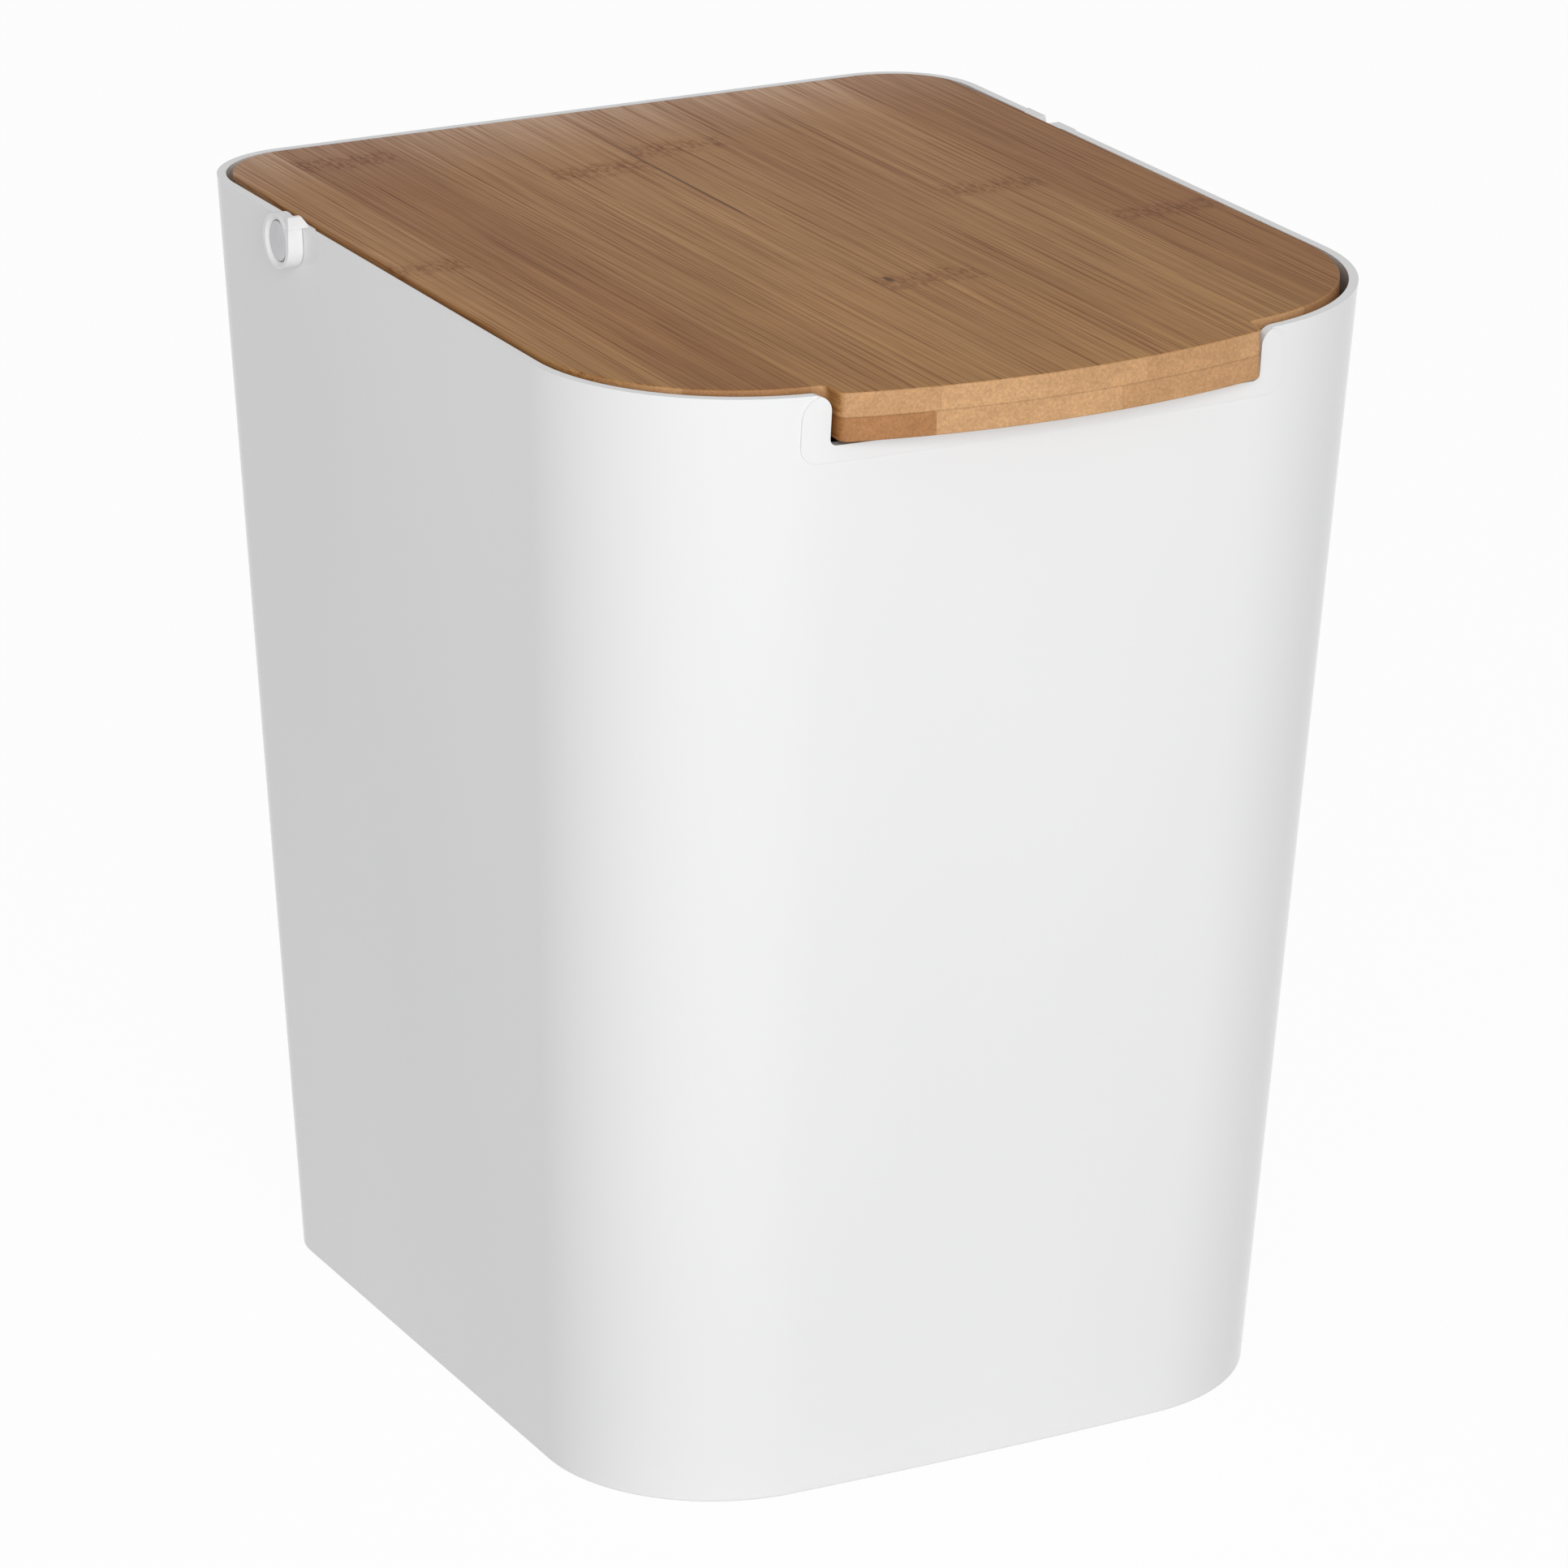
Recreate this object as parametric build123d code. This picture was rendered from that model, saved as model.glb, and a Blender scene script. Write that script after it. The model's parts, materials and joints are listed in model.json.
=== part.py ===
"""Bathroom bin: a tapered plastic tub with a two-ply bamboo lid that tips on two side pins.

Millimetres, +Z up. The front, with the notch in the rim, faces -Y.
The origin is on the floor, under the middle of the rim.
"""
import os
from math import atan2, cos, degrees, radians, sin, sqrt

from build123d import *

# Tub: the rim's outline, and the base's outline
HEIGHT = 250.0
RIM_WIDTH = 185.5
RIM_DEPTH = 222.3
RIM_FRONT_RADIUS = 47.0
RIM_BACK_RADIUS = 21.6
RIM_FRONT_BOW = 6.3
BASE_WIDTH = 165.3
BASE_DEPTH = 180.6
BASE_FRONT_RADIUS = 39.4
BASE_BACK_RADIUS = 15.7
BASE_FRONT_BOW = 2.7
BASE_SET_BACK = 5.5
WALL = 2.0
FLOOR = 2.5
BASE_EDGE_RADIUS = 0.6

# Lid board
PLY = 5.1
LID_ABOVE_RIM = 0.6
LID_SIDE_GAP = 0.15
LID_FRONT_GAP = 2.4
LID_BACK_GAP = 2.0
LID_REAR_TAPER = 1.4
LID_TAPER_PAST_PIVOT = 10.0
LID_EDGE_BEVEL = 0.4
TONGUE_WIDTH = 96.4
TONGUE_REACH = 7.0
TONGUE_FRONT_RADIUS = 180.0
TONGUE_CORNER_RADIUS = 2.5
TONGUE_ROOT_RADIUS = 2.0
TOP_STRIP_WIDTH = 23.1
TOP_STRIP_COUNT = 8
TOP_SEAM_X = -5.1
BOTTOM_STRIP_WIDTH = 20.6
BOTTOM_STRIP_COUNT = 9
BOTTOM_SEAM_X = -8.6

# Notch in the front rim, and the raised border round it
NOTCH_GAP = 1.0
NOTCH_UNDER_GAP = 1.3
NOTCH_TOP_RADIUS = 3.5
NOTCH_BOTTOM_RADIUS = 1.5
BORDER_SIDE = 6.0
BORDER_BELOW = 3.5
BORDER_HEIGHT = 0.45
BORDER_TOP_RADIUS = 5.0
BORDER_BOTTOM_RADIUS = 3.5

# Hinge
PIVOT_FROM_BACK = 56.15
PIVOT_BELOW_TOP = 4.5
PIN_RADIUS = 3.0
PIN_RUNNING_GAP = 0.05
PIN_IN_LID = 14.0
PIN_END_RECESS = 0.2
PIN_HEAD_RADIUS = 4.4
PIN_HEAD_LENGTH = 2.0
PIN_HEAD_RECESS = 0.5
PIN_HEAD_GAP = 0.15
PIN_HEAD_BACK_GAP = 0.1
DISH_RADIUS = 5.5
DISH_DEPTH = 0.7
BOSS_HALF_LENGTH = 6.8
BOSS_HALF_HEIGHT = 6.0
WINDOW_HALF = 4.3
THROAT_WIDTH = 5.4
THROAT_MOUTH = 6.2
THROAT_MOUTH_DEPTH = 1.2
BOSS_REACH = 3.35
LIP_LENGTH = 21.5
LIP_HEIGHT = 3.0
LIP_THICKNESS = 0.5
INNER_LIP_WIDTH = 16.0
INNER_LIP_THICKNESS = 0.5
INNER_LIP_DEPTH = 12.0
TAB_THICKNESS = 1.2
TAB_HEIGHT = 2.7
TAB_SET_BACK = 0.3
TAB_OUTER_INSET = 0.2
TAB_TOP_LENGTH = 3.0
TAB_LENGTH = 4.6

# Lid rests and stops, moulded inside the side walls
OPEN_ANGLE = 100.0
REST_GAP = 0.1
REST_DEPTH = 3.5
REST_HEIGHT = 9.0
REST_LENGTH = 16.0
REST_TOE = 1.5
REST_FRONT_Y = -50.0
STOP_DEPTH = 4.0
STOP_LENGTH = 8.0
STOP_HEIGHT = 35.0
STOP_GAP = 0.3

# How far a cutting shape runs past the face it cuts
OVERCUT = 1.0

# Places worked out from the sizes above
rim_half = RIM_WIDTH / 2
base_half = BASE_WIDTH / 2
rim_front_y = -RIM_DEPTH / 2
lid_top = HEIGHT + LID_ABOVE_RIM
lid_bottom = lid_top - 2 * PLY
lid_front_y = rim_front_y + WALL + LID_FRONT_GAP
lid_back_y = RIM_DEPTH / 2 - WALL - LID_BACK_GAP
pivot_y = RIM_DEPTH / 2 - PIVOT_FROM_BACK
pivot_z = lid_top - PIVOT_BELOW_TOP
glue_z = lid_top - PLY
notch_floor = lid_bottom - NOTCH_UNDER_GAP
notch_half = TONGUE_WIDTH / 2 + NOTCH_GAP
boss_face = rim_half + BOSS_REACH
far = 4 * HEIGHT


def side_wall_x(z, inset=0.0):
    """Half width of the tub's flat side wall at height z, less an inset."""
    return base_half + (rim_half - base_half) * z / HEIGHT - inset


# The board clears the lowest, narrowest part of the lips inside the two bearings
lid_half = side_wall_x(HEIGHT - INNER_LIP_DEPTH, WALL + INNER_LIP_THICKNESS) - LID_SIDE_GAP
lid_corner_inset = rim_half - lid_half


def plan_face(width, depth, centre_y, front_radius, back_radius, bow, inset, z):
    """The tub's outline at one level: a rounded rectangle with a bowed front."""
    half = width / 2
    back_y = centre_y + depth / 2
    bow_radius = (half**2 + bow**2) / (2 * bow)
    bow_y = centre_y - depth / 2 + bow_radius
    front_x = half - front_radius
    front_y = bow_y - sqrt((bow_radius - front_radius) ** 2 - front_x**2)
    turn = degrees(atan2(bow_y - front_y, front_x))
    back_x = half - back_radius
    corner_y = back_y - back_radius
    side = half - inset
    edges = [
        Line((-back_x, back_y - inset), (back_x, back_y - inset)),
        CenterArc((back_x, corner_y), back_radius - inset, 90, -90),
        Line((side, corner_y), (side, front_y)),
        CenterArc((front_x, front_y), front_radius - inset, 0, -turn),
        CenterArc((0, bow_y), bow_radius - inset, -turn, -(180 - 2 * turn)),
        CenterArc((-front_x, front_y), front_radius - inset, 180 + turn, -turn),
        Line((-side, front_y), (-side, corner_y)),
        CenterArc((-back_x, corner_y), back_radius - inset, 180, -90),
    ]
    return Pos(0, 0, z) * make_face(edges)


def rim_face(inset, z=HEIGHT):
    return plan_face(
        RIM_WIDTH, RIM_DEPTH, 0, RIM_FRONT_RADIUS, RIM_BACK_RADIUS, RIM_FRONT_BOW, inset, z
    )


def base_face(inset, z=0.0):
    return plan_face(
        BASE_WIDTH, BASE_DEPTH, BASE_SET_BACK, BASE_FRONT_RADIUS, BASE_BACK_RADIUS, BASE_FRONT_BOW, inset, z
    )


def tapered(inset):
    """The tub's tapered form, from the base to the rim, drawn in by an inset."""
    return loft([base_face(inset), rim_face(inset)], ruled=True)


def above(z):
    """Everything above a level."""
    return Pos(0, 0, z + far / 2) * Box(far, far, far)


def section_along_y(points, y_low, y_high):
    """A solid with the given (x, z) corners, between two y values."""
    face = Plane.XZ * make_face(Polyline(*points, close=True))
    return Pos(0, y_high, 0) * extrude(face, y_high - y_low)


def front_window(half_width, z_low, z_high, top_radius, bottom_radius):
    """A solid right through the front wall: a rounded rectangle seen from the front."""
    height = z_high - z_low
    face = Rectangle(2 * half_width, height)
    corners = face.vertices().sort_by(Axis.Y)
    face = fillet(corners[:2], bottom_radius)
    if top_radius:
        face = fillet(face.vertices().sort_by(Axis.Y)[-2:], top_radius)
    face = Plane.XZ * (Pos(0, (z_low + z_high) / 2) * face)
    return extrude(face, RIM_DEPTH)


def side_bar(side, radius, x_low, x_high):
    """A round bar on the pivot axis, on one side (-1 left, +1 right)."""
    bar = extrude(Plane.YZ * Pos(pivot_y, pivot_z) * Circle(radius), x_high - x_low)
    bar = Pos(x_low, 0, 0) * bar
    return bar if side > 0 else mirror(bar, Plane.YZ)


def side_prism(face, x_low, x_high):
    """A (y, z) outline drawn out along X, on the right side."""
    return Pos(x_low, 0, 0) * extrude(Plane.YZ * face, x_high - x_low)


def boss_outline():
    """The boss's outline: an oval round the pivot, squared off in front up to the rim."""
    rise = HEIGHT - pivot_z
    leg = Pos(pivot_y - BOSS_HALF_LENGTH / 2, pivot_z + rise / 2) * Rectangle(BOSS_HALF_LENGTH, rise)
    return Pos(pivot_y, pivot_z) * Ellipse(BOSS_HALF_LENGTH, BOSS_HALF_HEIGHT) + leg


def window_block(side):
    """The square opening in the rim that a bearing fills."""
    bottom = pivot_z - WINDOW_HALF
    height = HEIGHT + OVERCUT - bottom
    return Pos(side * rim_half, pivot_y, bottom + height / 2) * Box(rim_half, 2 * WINDOW_HALF, height)


def seat_face():
    """The pin's round seat, with a throat above it that opens into a wider mouth."""
    seat = PIN_RADIUS + PIN_RUNNING_GAP
    neck = THROAT_WIDTH / 2
    mouth = THROAT_MOUTH / 2
    rise = sqrt(seat**2 - neck**2)
    neck_angle = degrees(atan2(rise, neck))
    mouth_low = HEIGHT - THROAT_MOUTH_DEPTH
    rim = HEIGHT - pivot_z
    left = [(-neck, rise), (-neck, mouth_low - pivot_z), (-mouth, rim), (-mouth, rim + OVERCUT)]
    right = [(-y, z) for y, z in reversed(left)]
    throat = Polyline(*left, *right)
    arc = CenterArc((0, 0), seat, 180 - neck_angle, 180 + 2 * neck_angle)
    return Pos(pivot_y, pivot_z) * make_face([throat, arc])


def wall_slab(z_low, z_high, outer, inner, y_half):
    """A slab beside the right side wall, from an offset outside its face to an inset."""
    points = [
        (side_wall_x(z_low, inner), z_low),
        (side_wall_x(z_low, -outer), z_low),
        (side_wall_x(z_high, -outer), z_high),
        (side_wall_x(z_high, inner), z_high),
    ]
    return section_along_y(points, pivot_y - y_half, pivot_y + y_half)


def make_bearing(side):
    """A bearing that snaps over the wall: open on top on the right, a closed ring on the left."""
    bearing = wall_slab(pivot_z - WINDOW_HALF, HEIGHT, 0, WALL, WINDOW_HALF)
    bearing += wall_slab(
        HEIGHT - INNER_LIP_DEPTH, HEIGHT, -WALL, WALL + INNER_LIP_THICKNESS, INNER_LIP_WIDTH / 2
    )
    if side > 0:
        bearing += wall_slab(HEIGHT - LIP_HEIGHT, HEIGHT, LIP_THICKNESS, 0, LIP_LENGTH / 2)
        return bearing - side_prism(seat_face(), rim_half / 2, far)
    bearing += make_boss() + make_tab()
    bearing -= side_bar(1, PIN_RADIUS + PIN_RUNNING_GAP, rim_half / 2, far)
    pocket_floor = boss_face - PIN_HEAD_RECESS - PIN_HEAD_LENGTH - PIN_HEAD_BACK_GAP
    bearing -= side_bar(1, PIN_HEAD_RADIUS + PIN_HEAD_GAP, pocket_floor, far)
    bearing -= make_dish()
    return mirror(bearing, Plane.YZ)


def make_dish():
    """The cone that widens the pocket's mouth (right side)."""
    pocket = PIN_HEAD_RADIUS + PIN_HEAD_GAP
    depth = DISH_DEPTH + OVERCUT
    mouth = pocket + (DISH_RADIUS - pocket) * depth / DISH_DEPTH
    cone = Rot(0, 90, 0) * Cone(pocket, mouth, depth)
    return Pos(boss_face + OVERCUT - depth / 2, pivot_y, pivot_z) * cone


def make_boss():
    """The ring outside the wall that the pin's head turns in (right side)."""
    low = pivot_z - BOSS_HALF_HEIGHT - OVERCUT
    high = pivot_z + BOSS_HALF_HEIGHT + OVERCUT
    points = [
        (side_wall_x(low), low),
        (boss_face, low),
        (boss_face, high),
        (rim_half, high),
        (rim_half, HEIGHT),
    ]
    block = section_along_y(points, pivot_y - LIP_LENGTH, pivot_y + LIP_LENGTH)
    return block & side_prism(boss_outline(), 0, far)


def make_tab():
    """The thin tab on the boss's front leg, reaching in over the rim (right side)."""
    outer_x = boss_face - TAB_OUTER_INSET
    top = HEIGHT + TAB_HEIGHT
    points = [
        (outer_x, HEIGHT),
        (outer_x, top),
        (outer_x - TAB_TOP_LENGTH, top),
        (outer_x - TAB_LENGTH, HEIGHT + TAB_HEIGHT / 4),
        (outer_x - TAB_LENGTH, HEIGHT),
    ]
    front_y = pivot_y - BOSS_HALF_LENGTH + TAB_SET_BACK
    return section_along_y(points, front_y, front_y + TAB_THICKNESS)


def make_rest(side):
    """A small gusset that the closed lid lies on."""
    top = lid_bottom - REST_GAP
    wall_top = side_wall_x(top, WALL / 2)
    wall_low = side_wall_x(top - REST_HEIGHT, WALL / 2)
    inner_x = side_wall_x(top, WALL + REST_DEPTH)
    points = [(inner_x, top), (wall_top, top), (wall_low, top - REST_HEIGHT), (inner_x, top - REST_TOE)]
    rest = section_along_y(points, REST_FRONT_Y, REST_FRONT_Y + REST_LENGTH)
    return rest if side > 0 else mirror(rest, Plane.YZ)


def make_stop(side):
    """A rib that the back of the board meets when the lid is fully open."""
    lean = radians(OPEN_ANGLE - 90)
    top = lid_bottom - REST_GAP
    bottom = top - STOP_HEIGHT
    board_below = pivot_z - lid_bottom
    along = (pivot_z - bottom + board_below * sin(lean)) / cos(lean)
    stop_y = pivot_y - along * sin(lean) - board_below * cos(lean) - STOP_GAP
    points = [
        (side_wall_x(top, WALL + STOP_DEPTH), top),
        (side_wall_x(top, WALL / 2), top),
        (side_wall_x(bottom, WALL / 2), bottom),
        (side_wall_x(bottom, WALL + STOP_DEPTH), bottom + STOP_DEPTH),
    ]
    stop = section_along_y(points, stop_y - STOP_LENGTH, stop_y)
    return stop if side > 0 else mirror(stop, Plane.YZ)


def make_bin_body():
    """The moulded tub."""
    tub = tapered(0)
    tub = fillet(tub.edges().filter_by_position(Axis.Z, -0.01, 0.01), BASE_EDGE_RADIUS)
    border_low = notch_floor - BORDER_BELOW
    border_half = notch_half + BORDER_SIDE
    border = front_window(border_half, border_low, HEIGHT, BORDER_TOP_RADIUS, BORDER_BOTTOM_RADIUS)
    tub += tapered(-BORDER_HEIGHT) & border
    tub -= tapered(WALL) & above(FLOOR)
    for side in (-1, 1):
        tub += make_rest(side)
        tub += make_stop(side)
        tub -= window_block(side)
    notch = front_window(notch_half, notch_floor, HEIGHT + OVERCUT, 0, NOTCH_BOTTOM_RADIUS)
    tub -= notch
    return round_notch_tops(tub)


def round_notch_tops(tub):
    """Round the two corners where the notch meets the rim."""
    for side in (-1, 1):
        corner = Pos(side * (notch_half + NOTCH_TOP_RADIUS / 2), 0, HEIGHT - NOTCH_TOP_RADIUS / 2)
        square = corner * Box(NOTCH_TOP_RADIUS, far, NOTCH_TOP_RADIUS)
        centre = Pos(side * (notch_half + NOTCH_TOP_RADIUS), 0, HEIGHT - NOTCH_TOP_RADIUS)
        bar = centre * Rot(90, 0, 0) * Cylinder(NOTCH_TOP_RADIUS, far)
        front = Pos(0, -far / 2, HEIGHT) * Box(far, far, far)
        tub -= (square - bar) & front
    return tub


def lid_plan():
    """The board's outline: it follows the rim inside, with the tongue at the front."""
    board = plan_face(
        2 * lid_half,
        lid_back_y - lid_front_y,
        (lid_back_y + lid_front_y) / 2,
        RIM_FRONT_RADIUS - lid_corner_inset,
        RIM_BACK_RADIUS - lid_corner_inset,
        RIM_FRONT_BOW,
        0,
        0,
    )
    taper_y = pivot_y + LID_TAPER_PAST_PIVOT
    taper = Polyline(
        (-rim_half, -RIM_DEPTH),
        (rim_half, -RIM_DEPTH),
        (rim_half, taper_y),
        (lid_half, taper_y),
        (lid_half - LID_REAR_TAPER, lid_back_y),
        (lid_half - LID_REAR_TAPER, RIM_DEPTH),
        (-lid_half + LID_REAR_TAPER, RIM_DEPTH),
        (-lid_half + LID_REAR_TAPER, lid_back_y),
        (-lid_half, taper_y),
        (-rim_half, taper_y),
        close=True,
    )
    board = board & make_face(taper)
    nose_y = rim_front_y - TONGUE_REACH + TONGUE_FRONT_RADIUS
    nose = Pos(0, nose_y) * Circle(TONGUE_FRONT_RADIUS)
    nose = nose & (Pos(0, rim_front_y) * Rectangle(TONGUE_WIDTH, RIM_DEPTH / 2))
    return board + nose


def round_tongue(board):
    """Round the tongue's two front corners, and the two corners at its root."""
    uprights = [e for e in board.edges().filter_by(Axis.Z) if abs(abs(e.center().X) - TONGUE_WIDTH / 2) < 0.01]
    uprights = sorted(uprights, key=lambda e: e.center().Y)
    board = fillet(uprights[-2:], TONGUE_ROOT_RADIUS)
    uprights = [e for e in board.edges().filter_by(Axis.Z) if abs(abs(e.center().X) - TONGUE_WIDTH / 2) < 0.01]
    uprights = sorted(uprights, key=lambda e: e.center().Y)
    return fillet(uprights[:2], TONGUE_CORNER_RADIUS)


def make_board():
    """The whole lid board, before it is divided into its strips."""
    board = Pos(0, 0, lid_bottom) * extrude(lid_plan(), 2 * PLY)
    board = round_tongue(board)
    flat_edges = board.edges().filter_by_position(Axis.Z, lid_top - 0.01, lid_top + 0.01)
    flat_edges += board.edges().filter_by_position(Axis.Z, lid_bottom - 0.01, lid_bottom + 0.01)
    board = chamfer(flat_edges, LID_EDGE_BEVEL)
    for side in (-1, 1):
        board -= side_bar(side, PIN_RADIUS, lid_half - PIN_IN_LID, far)
    return board


def strip_edges(seam_x, width, count):
    """The x of each strip's edges, counted out from one known seam."""
    left_seams = (count - 2) // 2
    seams = [seam_x + (i - left_seams) * width for i in range(count - 1)]
    return [-rim_half] + seams + [rim_half]


def make_strips(board, name, seam_x, width, count, z_low):
    """Cut one ply of the board into its glued strips."""
    edges = strip_edges(seam_x, width, count)
    strips = {}
    for i in range(count):
        left, right = edges[i], edges[i + 1]
        cutter = Pos((left + right) / 2, 0, z_low + PLY / 2) * Box(right - left, 2 * RIM_DEPTH, PLY)
        strips[f"{name}_{i + 1}"] = board & cutter
    return strips


def make_pins():
    """The two hinge pins, pushed into the board's side edges."""
    inner_x = lid_half - PIN_IN_LID
    head_outer = boss_face - PIN_HEAD_RECESS
    head_inner = head_outer - PIN_HEAD_LENGTH
    left = side_bar(-1, PIN_RADIUS, inner_x, head_outer)
    left += side_bar(-1, PIN_HEAD_RADIUS, head_inner, head_outer)
    right = side_bar(1, PIN_RADIUS, inner_x, side_wall_x(pivot_z) - PIN_END_RECESS)
    return {"hinge_pin_left": left, "hinge_pin_right": right}


def make_parts():
    parts = {
        "bin_body": make_bin_body(),
        "hinge_bearing_left": make_bearing(-1),
        "hinge_bearing_right": make_bearing(1),
    }
    parts.update(make_pins())
    board = make_board()
    parts.update(
        make_strips(board, "lid_top_strip", TOP_SEAM_X, TOP_STRIP_WIDTH, TOP_STRIP_COUNT, glue_z)
    )
    parts.update(
        make_strips(board, "lid_bottom_strip", BOTTOM_SEAM_X, BOTTOM_STRIP_WIDTH, BOTTOM_STRIP_COUNT, lid_bottom)
    )
    return parts


os.makedirs("parts", exist_ok=True)
for node, shape in make_parts().items():
    export_step(shape, f"parts/{node}.step")
    box = shape.bounding_box()
    print(node, f"volume {shape.volume:.0f} mm3, x {box.min.X:.2f} to {box.max.X:.2f},",
          f"y {box.min.Y:.2f} to {box.max.Y:.2f}, z {box.min.Z:.2f} to {box.max.Z:.2f}")
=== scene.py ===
"""Looks of the bathroom bin: a white moulded tub, a two-ply bamboo lid and its side hinge.

Metres, +Z up. The front, with the notch in the rim, faces -Y.
"""

import json
from math import acos, asin, atan2, cos, pi, radians, sin, sqrt

import bpy
from mathutils import Matrix, Vector


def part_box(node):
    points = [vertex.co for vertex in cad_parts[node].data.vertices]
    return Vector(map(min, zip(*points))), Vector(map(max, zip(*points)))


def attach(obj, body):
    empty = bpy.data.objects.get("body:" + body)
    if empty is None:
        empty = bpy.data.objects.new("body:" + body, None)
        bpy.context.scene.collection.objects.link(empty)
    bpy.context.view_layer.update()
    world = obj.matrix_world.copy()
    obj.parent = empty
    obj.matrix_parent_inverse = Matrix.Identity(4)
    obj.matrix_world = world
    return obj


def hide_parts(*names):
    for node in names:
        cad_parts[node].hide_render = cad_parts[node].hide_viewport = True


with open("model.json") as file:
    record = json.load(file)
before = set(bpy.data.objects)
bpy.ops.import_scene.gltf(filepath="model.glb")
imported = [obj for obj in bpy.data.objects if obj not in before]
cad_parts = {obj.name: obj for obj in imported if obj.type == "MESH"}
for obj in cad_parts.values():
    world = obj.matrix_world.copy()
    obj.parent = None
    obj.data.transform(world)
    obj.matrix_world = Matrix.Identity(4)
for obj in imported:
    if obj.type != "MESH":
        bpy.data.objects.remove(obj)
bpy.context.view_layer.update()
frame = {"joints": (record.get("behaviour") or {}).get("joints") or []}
MM = 0.001

# Sizes read from the frame
tub_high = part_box("bin_body")[1]
HEIGHT = tub_high.z
RIM_HALF = tub_high.x
RIM_BACK_Y = tub_high.y
LID_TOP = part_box("lid_top_strip_4")[1].z
LID_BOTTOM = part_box("lid_bottom_strip_4")[0].z
LID_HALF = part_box("lid_top_strip_8")[1].x
LID_BACK_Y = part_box("lid_top_strip_4")[1].y
TONGUE_FRONT_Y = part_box("lid_top_strip_5")[0].y
GLUE_Z = (LID_TOP + LID_BOTTOM) / 2
pin_low, pin_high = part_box("hinge_pin_right")
PIVOT_Y = (pin_low.y + pin_high.y) / 2
PIVOT_Z = (pin_low.z + pin_high.z) / 2
PIN_RADIUS = (pin_high.y - pin_low.y) / 2
PIN_END_X = pin_high.x
head_low, head_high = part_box("hinge_pin_left")
HEAD_RADIUS = (head_high.y - head_low.y) / 2
HEAD_FACE_X = -head_low.x
boss_low, boss_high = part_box("hinge_bearing_left")
BOSS_FACE_X = -boss_low.x
TAB_TOP = boss_high.z

# Tub, as in the solids
RIM_DEPTH = 2 * RIM_BACK_Y
RIM_FRONT_RADIUS = 47.0 * MM
RIM_BACK_RADIUS = 21.6 * MM
RIM_FRONT_BOW = 6.3 * MM
BASE_HALF = 82.65 * MM
BASE_DEPTH = 180.6 * MM
BASE_FRONT_RADIUS = 39.4 * MM
BASE_BACK_RADIUS = 15.7 * MM
BASE_FRONT_BOW = 2.7 * MM
BASE_SET_BACK = 5.5 * MM
WALL = 2.0 * MM
FLOOR = 2.5 * MM

# Edges and small hollows of the moulding
BASE_EDGE_RADIUS = 0.6 * MM
FLOOR_CORNER_RADIUS = 3.0 * MM
FOOT_WIDTH = 4.0 * MM
FOOT_HEIGHT = 0.8 * MM
TUB_SOFTNESS = 0.25 * MM
BEARING_SOFTNESS = 0.15 * MM

# Notch and its raised border
TONGUE_HALF = 48.2 * MM
NOTCH_GAP = 1.0 * MM
NOTCH_UNDER_GAP = 1.3 * MM
NOTCH_TOP_RADIUS = 3.5 * MM
NOTCH_BOTTOM_RADIUS = 1.5 * MM
BORDER_SIDE = 6.0 * MM
BORDER_BELOW = 3.5 * MM
BORDER_HEIGHT = 0.45 * MM
BORDER_TOP_RADIUS = 5.0 * MM
BORDER_BOTTOM_RADIUS = 3.5 * MM
NOTCH_HALF = TONGUE_HALF + NOTCH_GAP
NOTCH_FLOOR = LID_BOTTOM - NOTCH_UNDER_GAP

# Rests and stops inside the side walls
REST_GAP = 0.1 * MM
REST_TOP = LID_BOTTOM - REST_GAP
REST_DEPTH = 3.5 * MM
REST_HEIGHT = 9.0 * MM
REST_LENGTH = 16.0 * MM
REST_TOE = 1.5 * MM
REST_FRONT_Y = -50.0 * MM
OPEN_LEAN = radians(frame["joints"][0]["range_deg"][1] - 90)
STOP_DEPTH = 4.0 * MM
STOP_LENGTH = 8.0 * MM
STOP_HEIGHT = 35.0 * MM
STOP_GAP = 0.3 * MM

# Bearings and pins
WINDOW_HALF = 4.3 * MM
OUTER_LIP_HALF = 10.75 * MM
OUTER_LIP_HEIGHT = 3.0 * MM
LIP_THICKNESS = 0.5 * MM
LIP_OVERLAP = 0.2 * MM
TOP_STEP = 0.02 * MM
INNER_LIP_HALF = 8.0 * MM
INNER_LIP_DEPTH = 12.0 * MM
BOSS_HALF_LENGTH = 6.8 * MM
BOSS_HALF_HEIGHT = 6.0 * MM
SEAT_GAP = 0.05 * MM
SEAT_RADIUS = PIN_RADIUS + SEAT_GAP
THROAT_HALF = 2.7 * MM
THROAT_MOUTH_HALF = 3.1 * MM
THROAT_MOUTH_DEPTH = 1.2 * MM
POCKET_GAP = 0.15 * MM
POCKET_DEPTH = 2.1 * MM
POCKET_RADIUS = HEAD_RADIUS + POCKET_GAP
POCKET_FLOOR_X = HEAD_FACE_X - POCKET_DEPTH
DISH_RADIUS = 5.5 * MM
DISH_DEPTH = 0.7 * MM
HEAD_LENGTH = 2.0 * MM
PIN_IN_LID = 14.0 * MM
TAB_INSET = 0.2 * MM
TAB_SET_BACK = 0.3 * MM
TAB_TOP_LENGTH = 3.0 * MM
TAB_LENGTH = 4.6 * MM
TAB_TOE = 0.675 * MM
TAB_THICKNESS = 1.2 * MM

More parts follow.
